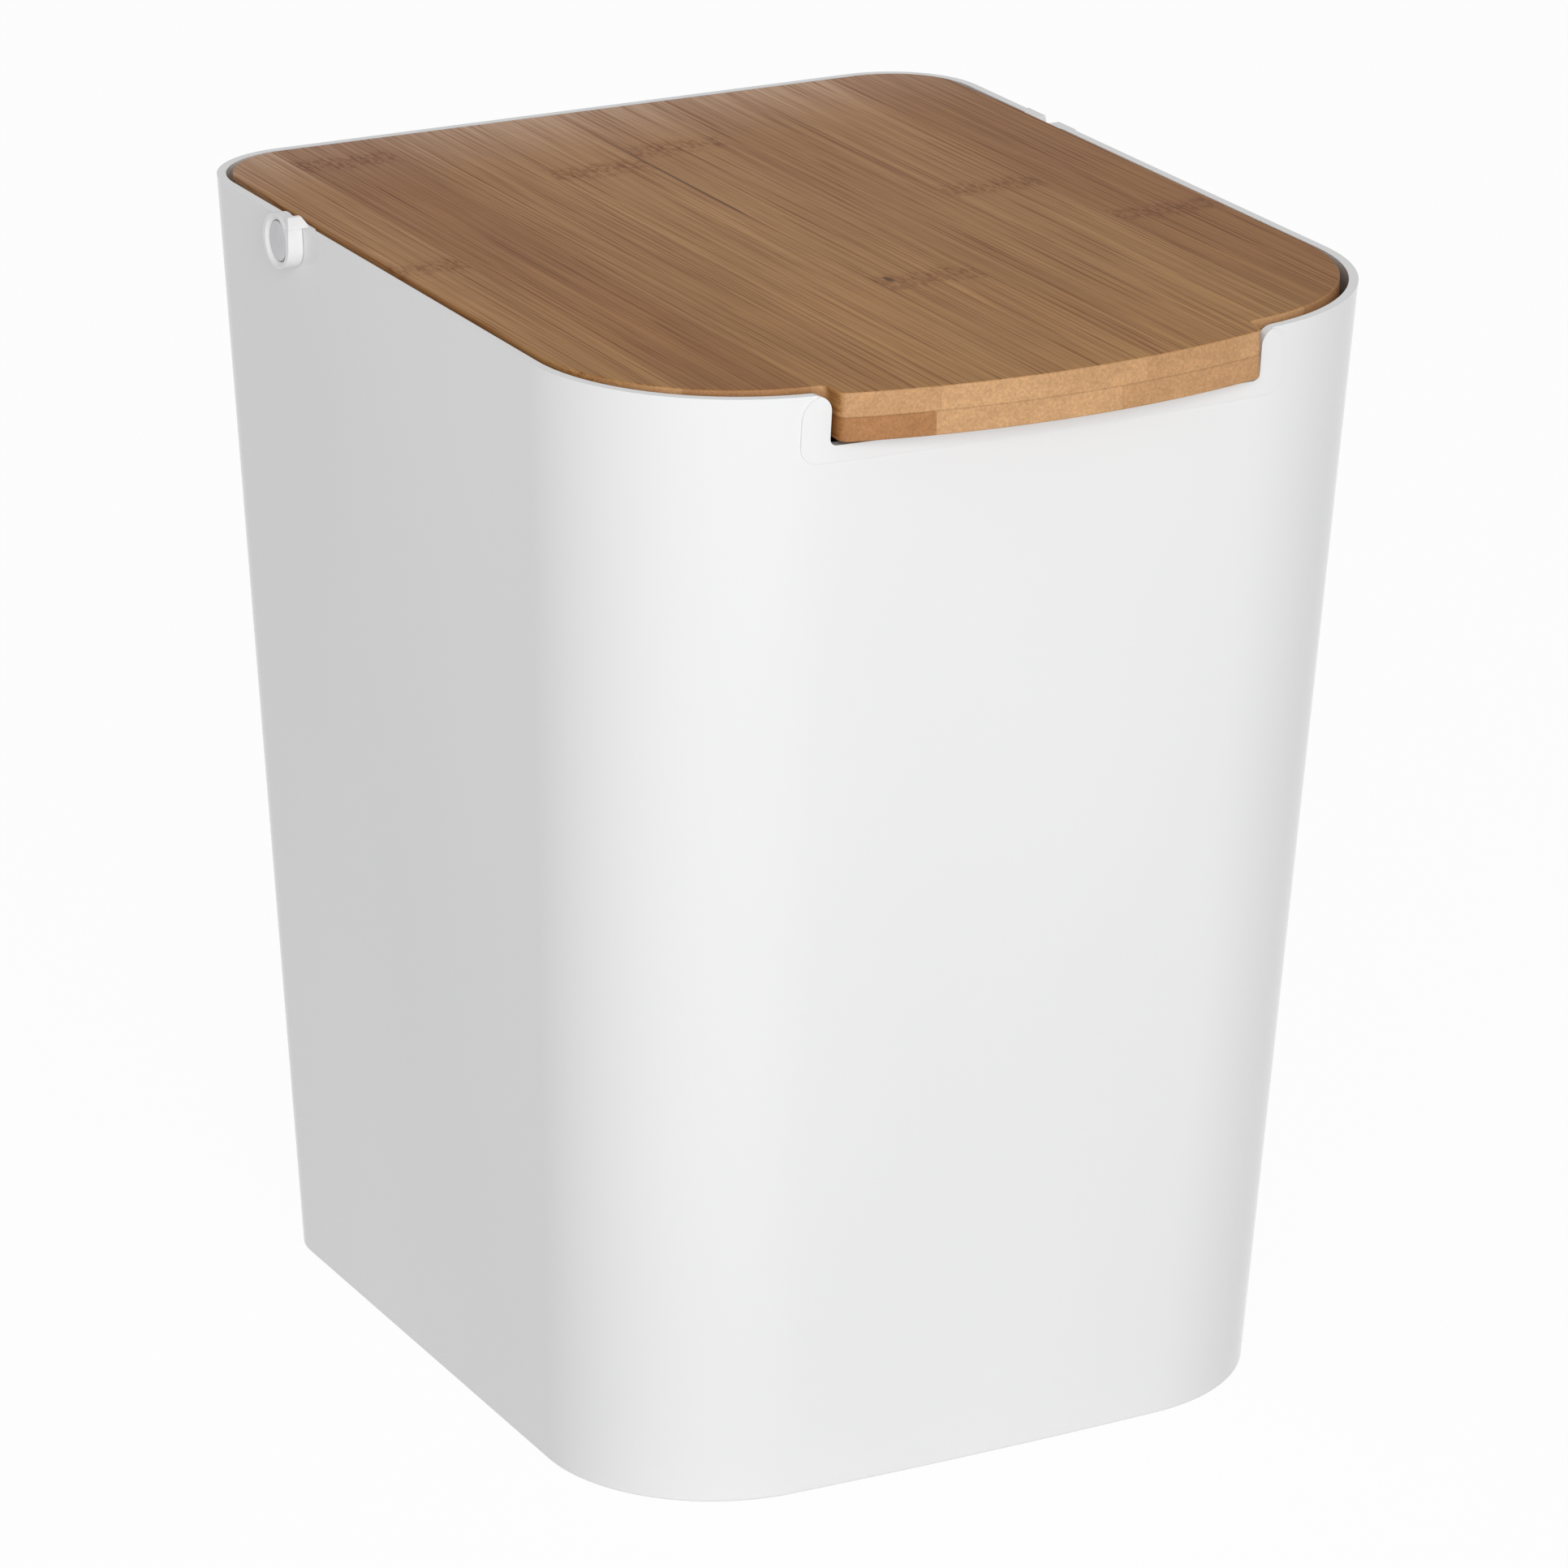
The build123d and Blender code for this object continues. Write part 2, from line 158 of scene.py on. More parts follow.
# Lid board
LID_CORNER_INSET = RIM_HALF - LID_HALF
LID_FRONT_GAP = 2.4 * MM
LID_FRONT_Y = -RIM_BACK_Y + WALL + LID_FRONT_GAP
LID_REAR_TAPER = 1.4 * MM
LID_TAPER_Y = PIVOT_Y + 10.0 * MM
LID_EDGE = 0.4 * MM
TONGUE_FRONT_RADIUS = 180.0 * MM
TONGUE_CORNER_RADIUS = 2.5 * MM
TONGUE_ROOT_RADIUS = 2.0 * MM
TOP_STRIP_WIDTH = 23.1 * MM
TOP_SEAM_X = -5.1 * MM
BOTTOM_STRIP_WIDTH = 20.6 * MM
BOTTOM_SEAM_X = -8.6 * MM

# Steps in which each arc is drawn, and segments of each rounded edge
BACK_STEPS = 14
FRONT_STEPS = 30
BOW_STEPS = 20
SMALL_STEPS = 8
ROUND_STEPS = 48
EDGE_SEGMENTS = 3
CORNER_SEGMENTS = 6

# Edges sharper than the first angle are rounded; shading breaks at edges sharper than the others
BEVEL_ANGLE = radians(30)
SMOOTH_ANGLE = radians(35)
LID_FLAT_ANGLE = radians(12)

# How close points are merged, and how close they count as on one level or on the middle plane
SAME_POINT = MM / 1000
SAME_LEVEL = MM / 100

# A face looks straight down when its normal's z is below this
LOOKS_DOWN = -0.9999

# How far a cutter runs past the face it cuts
OVERCUT = 1.0 * MM

# The middle range of a noise, which is spread over a range of values
NOISE_LOW = 0.3
NOISE_HIGH = 0.7

# Plastics and metal: two tints, the range of roughness, and how dense a noise is along x, y, z, per metre
TUB_TINTS = ((0.80, 0.80, 0.805, 1), (0.83, 0.83, 0.83, 1))
TUB_ROUGHNESS = (0.09, 0.13)
TUB_CLOUDS = (9, 9, 5)
TUB_HAZE = (60, 60, 25)
TUB_RIPPLES = (14, 14, 7)
RIPPLE_STRENGTH = 0.08
RIPPLE_HEIGHT = 0.5 * MM
FITTING_TINTS = ((0.82, 0.82, 0.825, 1), (0.87, 0.87, 0.87, 1))
FITTING_ROUGHNESS = (0.28, 0.4)
FITTING_CLOUDS = (160, 160, 160)
METAL_TINTS = ((0.5, 0.5, 0.51, 1), (0.6, 0.6, 0.61, 1))
METAL_ROUGHNESS = (0.35, 0.5)
METAL_GRAIN = (4000, 300, 300)
METAL_SHARE = 0.85

# Bamboo: colours, and where along the board one gives way to the next
WOOD_FRONT = (0.568, 0.313, 0.117, 1)
WOOD_MIDDLE = (0.572, 0.32, 0.145, 1)
# The back's paler, pinker colour is a painted sheen of grazing light over faint scuffs
WOOD_BACK_SHEEN = (0.8, 0.555, 0.405, 1)
WOOD_DARK = (0.62, 0.48, 0.38, 1)
WOOD_STREAK = (0.44, 0.31, 0.21, 1)
# Painted shade in the open seam's gap, and the knot's own dark colour
WOOD_SEAM_SHADE_AND_KNOT = (0.07, 0.035, 0.015, 1)
WOOD_EDGE = (0.59, 0.345, 0.172, 1)
FRONT_COLOUR_Y = -110.0 * MM
MIDDLE_COLOUR_Y = 50.0 * MM
# Where the painted sheen at the back starts, and where it is full
SHEEN_START_Y = 60.0 * MM
SHEEN_END_Y = 110.0 * MM
WOOD_ROUGHNESS = 0.55
WOOD_SPECULAR = 0.1
GRAIN_STRENGTH = 0.25
GRAIN_HEIGHT = 0.15 * MM

# Bamboo's fibres: shift from strip to strip, density per metre, range used and share in the colour
STRIP_SHIFT = 0.7
FIBRE_SCALE = (1400, 14, 1400)
FIBRE_DETAIL = 4.0
FIBRE_RANGE = (0.28, 0.72)
FIBRE_SHARE = 0.56
BROAD_SCALE = (260, 8, 260)
BROAD_SHARE = 0.22
HAIR_SCALE = (2400, 22, 2400)
HAIR_RANGE = (0.52, 0.64)
HAIR_SHARE = 0.42

# Unevenness of the flat faces and of the sawn ends: density per metre, and lowest and highest tone
CLOUD_SCALE = (28, 14, 28)
CLOUD_TONES = (0.94, 1.06)
SANDING_SCALE = (45, 1100, 45)
SANDING_TONES = (0.975, 1.025)
PORE_SCALE = (1900, 30, 1900)
PORE_TONES = (0.86, 1.12)
LAYER_SCALE = (160, 5, 260)
LAYER_TONES = (0.93, 1.06)
GLUE_LINE_WIDTH = 0.25 * MM
GLUE_LINE_TONE = 0.75
SAWN_RANGE = (0.3, 0.8)

# Node bands, with a second one on one strip of the upper ply
NODE_RANGE = 120.0 * MM
NODE_REACH = 7.5 * MM
NODE_JAG = 8.0 * MM
JAG_SCALE = (300, 60, 300)
DASH_SCALE = (950, 320, 950)
DASH_RANGE = (0.45, 0.57)
DASH_SHARE = 0.65
BAND_RANGE = (0.15, 0.6)
BAND_SHARE = 0.2
SECOND_NODE_Y = -47.0 * MM
SECOND_NODE_STRIP = 4

# Seams, the one that stands a little open with painted shade in its gap, and the dark knot
SEAM_WIDTH = 0.3 * MM
SEAM_DEPTH = 0.2
OPEN_SEAM_WIDTH = 0.4 * MM
OPEN_SEAM_LOW = 12.0 * MM
OPEN_SEAM_MIDDLE = 45.0 * MM
OPEN_SEAM_HIGH = 81.0 * MM
OPEN_SEAM_END = 6.0 * MM
OPEN_SEAM_FADED = 0.3
KNOT_X = -1.7 * MM
KNOT_Y = -44.3 * MM
KNOT_WIDTH = 0.9 * MM
KNOT_LENGTH = 2.4 * MM
KNOT_DEPTH = 2.5
SEAM_SHADE_AND_KNOT_LIMIT = 0.85

# Each strip, from the left: its tone, and its node band's place (0 in front, 1 at the back) and strength
TOP_STRIPS = (
    (0.97, 0.53, 0.8),
    (0.77, 0.88, 1.0),
    (0.92, 0.2, 0.0),
    (1.0, 0.75, 1.0),
    (0.96, 0.79, 0.8),
    (0.91, 0.2, 0.0),
    (0.96, 0.54, 0.9),
    (0.79, 0.4, 0.9),
)
BOTTOM_STRIPS = (
    (0.92, 0.3, 0.8),
    (1.0, 0.7, 0.8),
    (0.68, 0.2, 0.7),
    (0.97, 0.6, 0.9),
    (0.98, 0.4, 0.8),
    (0.9, 0.8, 0.9),
    (0.9, 0.5, 0.8),
    (0.94, 0.3, 0.9),
    (1.0, 0.6, 0.8),
)

# Floor: its size, its grey, and the share of plain white that the camera sees instead of it
FLOOR_SIZE = 30.0
FLOOR_GREY = 0.86
FLOOR_WHITE_SHARE = 0.96

# Light: share of the white surroundings that lights matt surfaces, and one soft lamp
AMBIENT = 0.44
KEY_AZIMUTH = radians(-22)
KEY_ELEVATION = radians(20)
KEY_DISTANCE = 2.0
KEY_SIZE = 1.2
KEY_POWER = 23.0

# Camera
CAMERA_AZIMUTH = radians(-27.48)
CAMERA_ELEVATION = radians(19.94)
CAMERA_ROLL = radians(0.04)
CAMERA_DISTANCE = 1.6004
CAMERA_RIGHT = -2.51 * MM
CAMERA_UP = 0.11 * MM
CAMERA_AIM = Vector((0, 0, HEIGHT / 2))
FOCAL_LENGTH = 168.94
SENSOR_WIDTH = 36.0


# Drawing and shaping

def deselect():
    bpy.ops.object.select_all(action="DESELECT")


def make_active(piece):
    """Select one piece alone."""
    deselect()
    piece.select_set(True)
    bpy.context.view_layer.objects.active = piece


def start_outline(name, point):
    """A mesh of one selected point, in edit mode, ready to be drawn out."""
    deselect()
    bpy.ops.mesh.primitive_plane_add(size=MM, location=point)
    piece = bpy.context.object
    piece.name = name
    bpy.ops.object.transform_apply(location=True, rotation=False, scale=False)
    bpy.ops.object.mode_set(mode="EDIT")
    bpy.ops.mesh.select_mode(type="VERT")
    bpy.ops.mesh.select_all(action="SELECT")
    bpy.ops.mesh.merge(type="CENTER")
    return piece


def draw_line(x, y, z):
    """Draw the last point out by a straight move."""
    bpy.ops.mesh.extrude_region_move(TRANSFORM_OT_translate={"value": (x, y, z)})


def draw_arc(centre, angle, steps, axis=(0, 0, 1)):
    """Draw the last point round a centre, anticlockwise about the axis."""
    bpy.ops.mesh.spin(steps=steps, angle=-angle, center=centre, axis=axis)


def draw_corners(name, points):
    """A straight-sided outline through some corners, left in edit mode."""
    outline = start_outline(name, points[0])
    for start, end in zip(points, points[1:]):
        draw_line(*(Vector(end) - Vector(start)))
    return outline


def face_outwards():
    """Merge double points and turn all faces outwards."""
    bpy.ops.mesh.select_all(action="SELECT")
    bpy.ops.mesh.remove_doubles(threshold=SAME_POINT)
    bpy.ops.mesh.normals_make_consistent(inside=False)


def thicken(move):
    """Fill the outline that is being drawn and extrude it into a solid."""
    bpy.ops.mesh.select_all(action="SELECT")
    bpy.ops.mesh.edge_face_add()
    bpy.ops.mesh.extrude_region_move(TRANSFORM_OT_translate={"value": move})
    face_outwards()
    bpy.ops.object.mode_set(mode="OBJECT")


def prism(name, points, move):
    """A straight-sided outline extruded by a move."""
    piece = draw_corners(name, points)
    thicken(move)
    return piece


def round_bar(name, radius, x_low, x_high):
    """A round bar on the pivot axis."""
    bar = start_outline(name, (x_low, PIVOT_Y, PIVOT_Z + radius))
    draw_arc((x_low, PIVOT_Y, PIVOT_Z), 2 * pi, ROUND_STEPS, axis=(1, 0, 0))
    bpy.ops.mesh.select_all(action="SELECT")
    bpy.ops.mesh.remove_doubles(threshold=SAME_POINT)
    thicken((x_high - x_low, 0, 0))
    return bar


def join(pieces):
    """Make one piece of several, under the first one's name."""
    deselect()
    for piece in pieces:
        piece.select_set(True)
    bpy.context.view_layer.objects.active = pieces[0]
    bpy.ops.object.join()
    return pieces[0]


def combine(piece, operation, other):
    """Add, cut or keep the common part of two solids; the second one is used up."""
    make_active(piece)
    bpy.ops.object.modifier_add(type="BOOLEAN")
    modifier = piece.modifiers[-1]
    modifier.operation = operation
    modifier.solver = "EXACT"
    modifier.object = other
    bpy.ops.object.modifier_apply(modifier=modifier.name)
    bpy.data.objects.remove(other)
    return piece


def mirror_half(piece):
    """Complete a half that ends on the middle plane."""
    make_active(piece)
    bpy.ops.object.modifier_add(type="MIRROR")
    modifier = piece.modifiers[-1]
    modifier.merge_threshold = SAME_LEVEL
    bpy.ops.object.modifier_apply(modifier=modifier.name)
    return piece


def flip_to_left(piece):
    """Turn a piece drawn on the right into its left-hand twin."""
    make_active(piece)
    bpy.ops.object.mode_set(mode="EDIT")
    bpy.ops.mesh.select_all(action="SELECT")
    bpy.ops.transform.resize(value=(-1, 1, 1), center_override=(0, 0, 0))
    bpy.ops.mesh.normals_make_consistent(inside=False)
    bpy.ops.object.mode_set(mode="OBJECT")
    return piece


def select_level(piece, z):
    """In edit mode, select the edges that lie at one level."""
    bpy.ops.mesh.select_mode(type="EDGE")
    bpy.ops.mesh.select_all(action="DESELECT")
    bpy.ops.object.mode_set(mode="OBJECT")
    points = piece.data.vertices
    for edge in piece.data.edges:
        edge.select = all(abs(points[i].co.z - z) < SAME_LEVEL for i in edge.vertices)
    bpy.ops.object.mode_set(mode="EDIT")


def fill_level(piece, z):
    """Close the ring of edges at one level with a face."""
    select_level(piece, z)
    bpy.ops.mesh.edge_face_add()


def slice_off(piece, point, normal):
    """Cut a solid with a plane, drop what lies on the normal's side, and close the cut."""
    make_active(piece)
    bpy.ops.object.mode_set(mode="EDIT")
    bpy.ops.mesh.select_all(action="SELECT")
    bpy.ops.mesh.bisect(
        plane_co=point, plane_no=normal, clear_outer=True, use_fill=True, threshold=SAME_POINT
    )
    bpy.ops.object.mode_set(mode="OBJECT")


def soften(piece, width):
    """Round the sharp edges a little and shade the rest smooth."""
    make_active(piece)
    bpy.ops.object.modifier_add(type="BEVEL")
    bevel = piece.modifiers[-1]
    bevel.width = width
    bevel.segments = EDGE_SEGMENTS
    bevel.limit_method = "ANGLE"
    bevel.angle_limit = BEVEL_ANGLE
    bpy.ops.object.modifier_apply(modifier=bevel.name)
    shade(piece)


def shade(piece, angle=SMOOTH_ANGLE):
    """Shade smooth all but the edges sharper than an angle."""
    make_active(piece)
    bpy.ops.object.shade_smooth_by_angle(angle=angle)
    bpy.ops.object.modifier_add(type="WEIGHTED_NORMAL")
    weighted = piece.modifiers[-1]
    weighted.keep_sharp = True
    bpy.ops.object.modifier_apply(modifier=weighted.name)


# Tub

def bowed_front(half, depth, centre_y, corner_radius, bow):
    """The y of the bow's centre, and the centre of the corner arc that meets the bow and the side."""
    bow_radius = (half**2 + bow**2) / (2 * bow)
    bow_y = centre_y - depth / 2 + bow_radius
    corner_x = half - corner_radius
    corner_y = bow_y - sqrt((bow_radius - corner_radius) ** 2 - corner_x**2)
    return bow_y, corner_x, corner_y


def half_outline(name, half, depth, centre_y, front_radius, back_radius, bow, inset, z):
    """Half of a rounded outline with a bowed front, drawn from the middle of the back."""
    back_y = centre_y + depth / 2
    bow_y, front_x, front_y = bowed_front(half, depth, centre_y, front_radius, bow)
    turn = atan2(bow_y - front_y, front_x)
    back_x = half - back_radius
    corner_y = back_y - back_radius
    outline = start_outline(name, (0, back_y - inset, z))
    draw_line(back_x, 0, 0)
    draw_arc((back_x, corner_y, z), -pi / 2, BACK_STEPS)
    draw_line(0, front_y - corner_y, 0)
    draw_arc((front_x, front_y, z), -turn, FRONT_STEPS)
    draw_arc((0, bow_y, z), turn - pi / 2, BOW_STEPS)
    bpy.ops.object.mode_set(mode="OBJECT")
    return outline


def rim_outline(name, inset):
    """Half of the tub's outline at the rim."""
    return half_outline(
        name, RIM_HALF, RIM_DEPTH, 0, RIM_FRONT_RADIUS, RIM_BACK_RADIUS, RIM_FRONT_BOW, inset, HEIGHT
    )


def base_outline(name, inset, z):
    """Half of the tub's outline at the base."""
    return half_outline(
        name, BASE_HALF, BASE_DEPTH, BASE_SET_BACK,
        BASE_FRONT_RADIUS, BASE_BACK_RADIUS, BASE_FRONT_BOW, inset, z,
    )


def tapered_solid(name, inset, z_low, corner=0.0, rise=0.0):
    """The tub's tapered form as a solid; its lower edge can be rounded, and it can rise above the rim."""
    solid = join([base_outline(name, inset, z_low), rim_outline("rim", inset)])
    bpy.ops.object.mode_set(mode="EDIT")
    bpy.ops.mesh.select_mode(type="EDGE")
    bpy.ops.mesh.select_all(action="SELECT")
    bpy.ops.mesh.bridge_edge_loops()
    bpy.ops.object.mode_set(mode="OBJECT")
    mirror_half(solid)
    bpy.ops.object.mode_set(mode="EDIT")
    fill_level(solid, z_low)
    fill_level(solid, HEIGHT)
    if rise:
        bpy.ops.mesh.extrude_region_move(TRANSFORM_OT_translate={"value": (0, 0, rise)})
    if corner:
        select_level(solid, z_low)
        bpy.ops.mesh.bevel(offset=corner, segments=CORNER_SEGMENTS, affect="EDGES")
    face_outwards()
    bpy.ops.object.mode_set(mode="OBJECT")
    return solid


def side_wall_x(z, inset=0.0):
    """Half width of the tub's flat side wall at a height, less an inset."""
    return BASE_HALF + (RIM_HALF - BASE_HALF) * z / HEIGHT - inset


def front_cutter(name, half, z_low, z_high, corner_radius, top_radius, flare):
    """A block through the front wall, with round lower corners and round or flared upper ones."""
    y = -RIM_DEPTH
    block = start_outline(name, (0, y, z_low))
    draw_line(half - corner_radius, 0, 0)
    draw_arc((half - corner_radius, y, z_low + corner_radius), -pi / 2, SMALL_STEPS, axis=(0, 1, 0))
    draw_line(0, 0, z_high - top_radius - z_low - corner_radius)
    if flare:
        draw_arc((half + top_radius, y, z_high - top_radius), pi / 2, SMALL_STEPS, axis=(0, 1, 0))
        draw_line(0, 0, OVERCUT)
        draw_line(-half - top_radius, 0, 0)
    else:
        draw_arc((half - top_radius, y, z_high - top_radius), -pi / 2, SMALL_STEPS, axis=(0, 1, 0))
        draw_line(top_radius - half, 0, 0)
    bpy.ops.object.mode_set(mode="OBJECT")
    mirror_half(block)
    bpy.ops.object.mode_set(mode="EDIT")
    thicken((0, RIM_DEPTH, 0))
    return block


def notch_border():
    """The thin raised band round the notch, on the tub's front."""
    block = front_cutter(
        "block", NOTCH_HALF + BORDER_SIDE, NOTCH_FLOOR - BORDER_BELOW, HEIGHT,
        BORDER_BOTTOM_RADIUS, BORDER_TOP_RADIUS, False,
    )
    return combine(tapered_solid("border", -BORDER_HEIGHT, 0), "INTERSECT", block)


def rest_and_stop():
    """The gusset that the lid lies on, and the rib that stops it when open, on the right wall."""
    inner_x = side_wall_x(REST_TOP, WALL + REST_DEPTH)
    rest_low = REST_TOP - REST_HEIGHT
    rest = prism(
        "rest",
        [
            (inner_x, REST_FRONT_Y, REST_TOP),
            (side_wall_x(REST_TOP, WALL / 2), REST_FRONT_Y, REST_TOP),
            (side_wall_x(rest_low, WALL / 2), REST_FRONT_Y, rest_low),
            (inner_x, REST_FRONT_Y, REST_TOP - REST_TOE),
        ],
        (0, REST_LENGTH, 0),
    )
    ply = PIVOT_Z - LID_BOTTOM
    low = REST_TOP - STOP_HEIGHT
    along = (PIVOT_Z - low + ply * sin(OPEN_LEAN)) / cos(OPEN_LEAN)
    stop_y = PIVOT_Y - along * sin(OPEN_LEAN) - ply * cos(OPEN_LEAN) - STOP_GAP
    stop = prism(
        "stop",
        [
            (side_wall_x(REST_TOP, WALL + STOP_DEPTH), stop_y, REST_TOP),
            (side_wall_x(REST_TOP, WALL / 2), stop_y, REST_TOP),
            (side_wall_x(low, WALL / 2), stop_y, low),
            (side_wall_x(low, WALL + STOP_DEPTH), stop_y, low + STOP_DEPTH),
        ],
        (0, -STOP_LENGTH, 0),
    )
    return mirror_half(join([rest, stop]))


def bearing_windows():
    """The two square openings in the rim that the bearings fill."""
    low = PIVOT_Z - WINDOW_HALF
    points = [
        (RIM_HALF - 3 * WALL, PIVOT_Y - WINDOW_HALF, low),
        (RIM_HALF + WALL, PIVOT_Y - WINDOW_HALF, low),
        (RIM_HALF + WALL, PIVOT_Y + WINDOW_HALF, low),
        (RIM_HALF - 3 * WALL, PIVOT_Y + WINDOW_HALF, low),
    ]
    return mirror_half(prism("windows", points, (0, 0, HEIGHT + OVERCUT - low)))


def raise_foot(tub):
    """Hollow the underside a little, which leaves a foot all round."""
    make_active(tub)
    bpy.ops.object.mode_set(mode="EDIT")
    bpy.ops.mesh.select_mode(type="FACE")
    bpy.ops.mesh.select_all(action="DESELECT")
    bpy.ops.object.mode_set(mode="OBJECT")
    for face in tub.data.polygons:
        face.select = face.normal.z < LOOKS_DOWN and face.center.z < MM / 10
    bpy.ops.object.mode_set(mode="EDIT")
    bpy.ops.mesh.inset(thickness=FOOT_WIDTH)
    bpy.ops.mesh.inset(thickness=FOOT_HEIGHT, depth=-FOOT_HEIGHT)
    bpy.ops.object.mode_set(mode="OBJECT")


def make_tub():
    """The moulded tub: tapered, hollow, with its notch, border, rests, stops and bearing openings."""
    tub = tapered_solid("tub", 0, 0, corner=BASE_EDGE_RADIUS)
    raise_foot(tub)
    combine(tub, "UNION", notch_border())
    combine(tub, "DIFFERENCE", tapered_solid("hollow", WALL, FLOOR, corner=FLOOR_CORNER_RADIUS, rise=OVERCUT))
    combine(tub, "UNION", rest_and_stop())
    combine(tub, "DIFFERENCE", bearing_windows())
    notch = front_cutter(
        "notch", NOTCH_HALF, NOTCH_FLOOR, HEIGHT, NOTCH_BOTTOM_RADIUS, NOTCH_TOP_RADIUS, True
    )
    combine(tub, "DIFFERENCE", notch)
    soften(tub, TUB_SOFTNESS)
    return tub


# Bearings and pins

def wall_slab(name, z_low, z_high, outer, inner, y_half):
    """A slab that leans with the right side wall, from an offset outside its face to an inset."""
    y = PIVOT_Y - y_half
    points = [
        (side_wall_x(z_low, inner), y, z_low),
        (side_wall_x(z_low, -outer), y, z_low),
        (side_wall_x(z_high, -outer), y, z_high),
        (side_wall_x(z_high, inner), y, z_high),
    ]
    return prism(name, points, (0, 2 * y_half, 0))


def seat_cutter():
    """The pin's round seat, with the throat above it that opens into a wider mouth."""
    x = RIM_HALF / 2
    rise = sqrt(SEAT_RADIUS**2 - THROAT_HALF**2)
    throat_angle = atan2(rise, THROAT_HALF)
    mouth_low = HEIGHT - THROAT_MOUTH_DEPTH - PIVOT_Z
    mouth_top = HEIGHT - PIVOT_Z
    cutter = start_outline("seat", (x, PIVOT_Y - THROAT_HALF, PIVOT_Z + rise))
    draw_arc((x, PIVOT_Y, PIVOT_Z), pi + 2 * throat_angle, ROUND_STEPS, axis=(1, 0, 0))
    draw_line(0, 0, mouth_low - rise)
    draw_line(0, THROAT_MOUTH_HALF - THROAT_HALF, mouth_top - mouth_low)
    draw_line(0, 0, OVERCUT)
    draw_line(0, -2 * THROAT_MOUTH_HALF, 0)
    draw_line(0, 0, -OVERCUT)
    draw_line(0, THROAT_MOUTH_HALF - THROAT_HALF, mouth_low - mouth_top)
    thicken((RIM_HALF, 0, 0))
    return cutter


def cut_to_wall(piece, offset, outwards):
    """Trim a piece with a plane that leans with the right side wall, at an offset outside its face."""
    lean = Vector((HEIGHT, 0, BASE_HALF - RIM_HALF)) * outwards
    slice_off(piece, (RIM_HALF + offset, PIVOT_Y, HEIGHT), lean)


def make_boss():
    """The oval boss outside the wall, round the pin's head, squared off in front up to the rim."""
    x = side_wall_x(PIVOT_Z - 2 * BOSS_HALF_LENGTH)
    centre = (x, PIVOT_Y, PIVOT_Z)
    squash = BOSS_HALF_HEIGHT / BOSS_HALF_LENGTH
    leg_height = (HEIGHT + TOP_STEP - PIVOT_Z) / squash
    leg_angle = asin(leg_height / BOSS_HALF_LENGTH)
    boss = start_outline("boss", (x, PIVOT_Y - BOSS_HALF_LENGTH, PIVOT_Z + leg_height))
    draw_line(0, 0, -leg_height)
    draw_arc(centre, 2 * pi - leg_angle, ROUND_STEPS, axis=(1, 0, 0))
    bpy.ops.mesh.select_all(action="SELECT")
    bpy.ops.transform.resize(value=(1, 1, squash), center_override=centre)
    thicken((BOSS_FACE_X - x, 0, 0))
    cut_to_wall(boss, LIP_OVERLAP / 2, -1)
    return boss


def dish_cutter():
    """The cone that widens the pocket's mouth."""
    widening = (DISH_RADIUS - POCKET_RADIUS) / DISH_DEPTH
    depth = 2 * DISH_DEPTH + OVERCUT
    deselect()
    bpy.ops.mesh.primitive_cone_add(
        vertices=ROUND_STEPS,
        radius1=DISH_RADIUS - widening * 2 * DISH_DEPTH,
        radius2=DISH_RADIUS + widening * OVERCUT,
        depth=depth,
        location=(BOSS_FACE_X + OVERCUT - depth / 2, PIVOT_Y, PIVOT_Z),
        rotation=(0, pi / 2, 0),
    )
    bpy.ops.object.transform_apply(location=True, rotation=True, scale=True)
    return bpy.context.object


def make_tab():
    """The thin tab on the boss's front leg, reaching in over the rim."""
    outer_x = BOSS_FACE_X - TAB_INSET
    y = PIVOT_Y - BOSS_HALF_LENGTH + TAB_SET_BACK
    points = [
        (outer_x, y, HEIGHT - TAB_TOE),
        (outer_x, y, TAB_TOP),
        (outer_x - TAB_TOP_LENGTH, y, TAB_TOP),
        (outer_x - TAB_LENGTH, y, HEIGHT + TAB_TOE),
        (outer_x - TAB_LENGTH, y, HEIGHT + 2 * TOP_STEP),
        (RIM_HALF + LIP_OVERLAP, y, HEIGHT + 2 * TOP_STEP),
        (RIM_HALF + LIP_OVERLAP, y, HEIGHT - TAB_TOE),
    ]
    return prism("tab", points, (0, TAB_THICKNESS, 0))


def make_core(name):
    """The block that fills the opening in the wall, with the lip inside the tub."""
    above = HEIGHT + OVERCUT
    core = wall_slab(name, PIVOT_Z - WINDOW_HALF, above, LIP_OVERLAP, WALL + LIP_OVERLAP, WINDOW_HALF)
    inner_lip = wall_slab(
        "inner_lip", HEIGHT - INNER_LIP_DEPTH, above, -WALL, WALL + LIP_THICKNESS, INNER_LIP_HALF
    )
    return combine(core, "UNION", inner_lip)


def make_open_bearing():
    """The right bearing: the pin is pressed in from above, through a throat."""
    lip = wall_slab(
        "lip", HEIGHT - OUTER_LIP_HEIGHT, HEIGHT + OVERCUT, LIP_THICKNESS, 0, OUTER_LIP_HALF
    )
    bearing = combine(make_core("bearing_right"), "UNION", lip)
    slice_off(bearing, (0, 0, HEIGHT), (0, 0, 1))
    combine(bearing, "DIFFERENCE", seat_cutter())
    soften(bearing, BEARING_SOFTNESS)
    return bearing


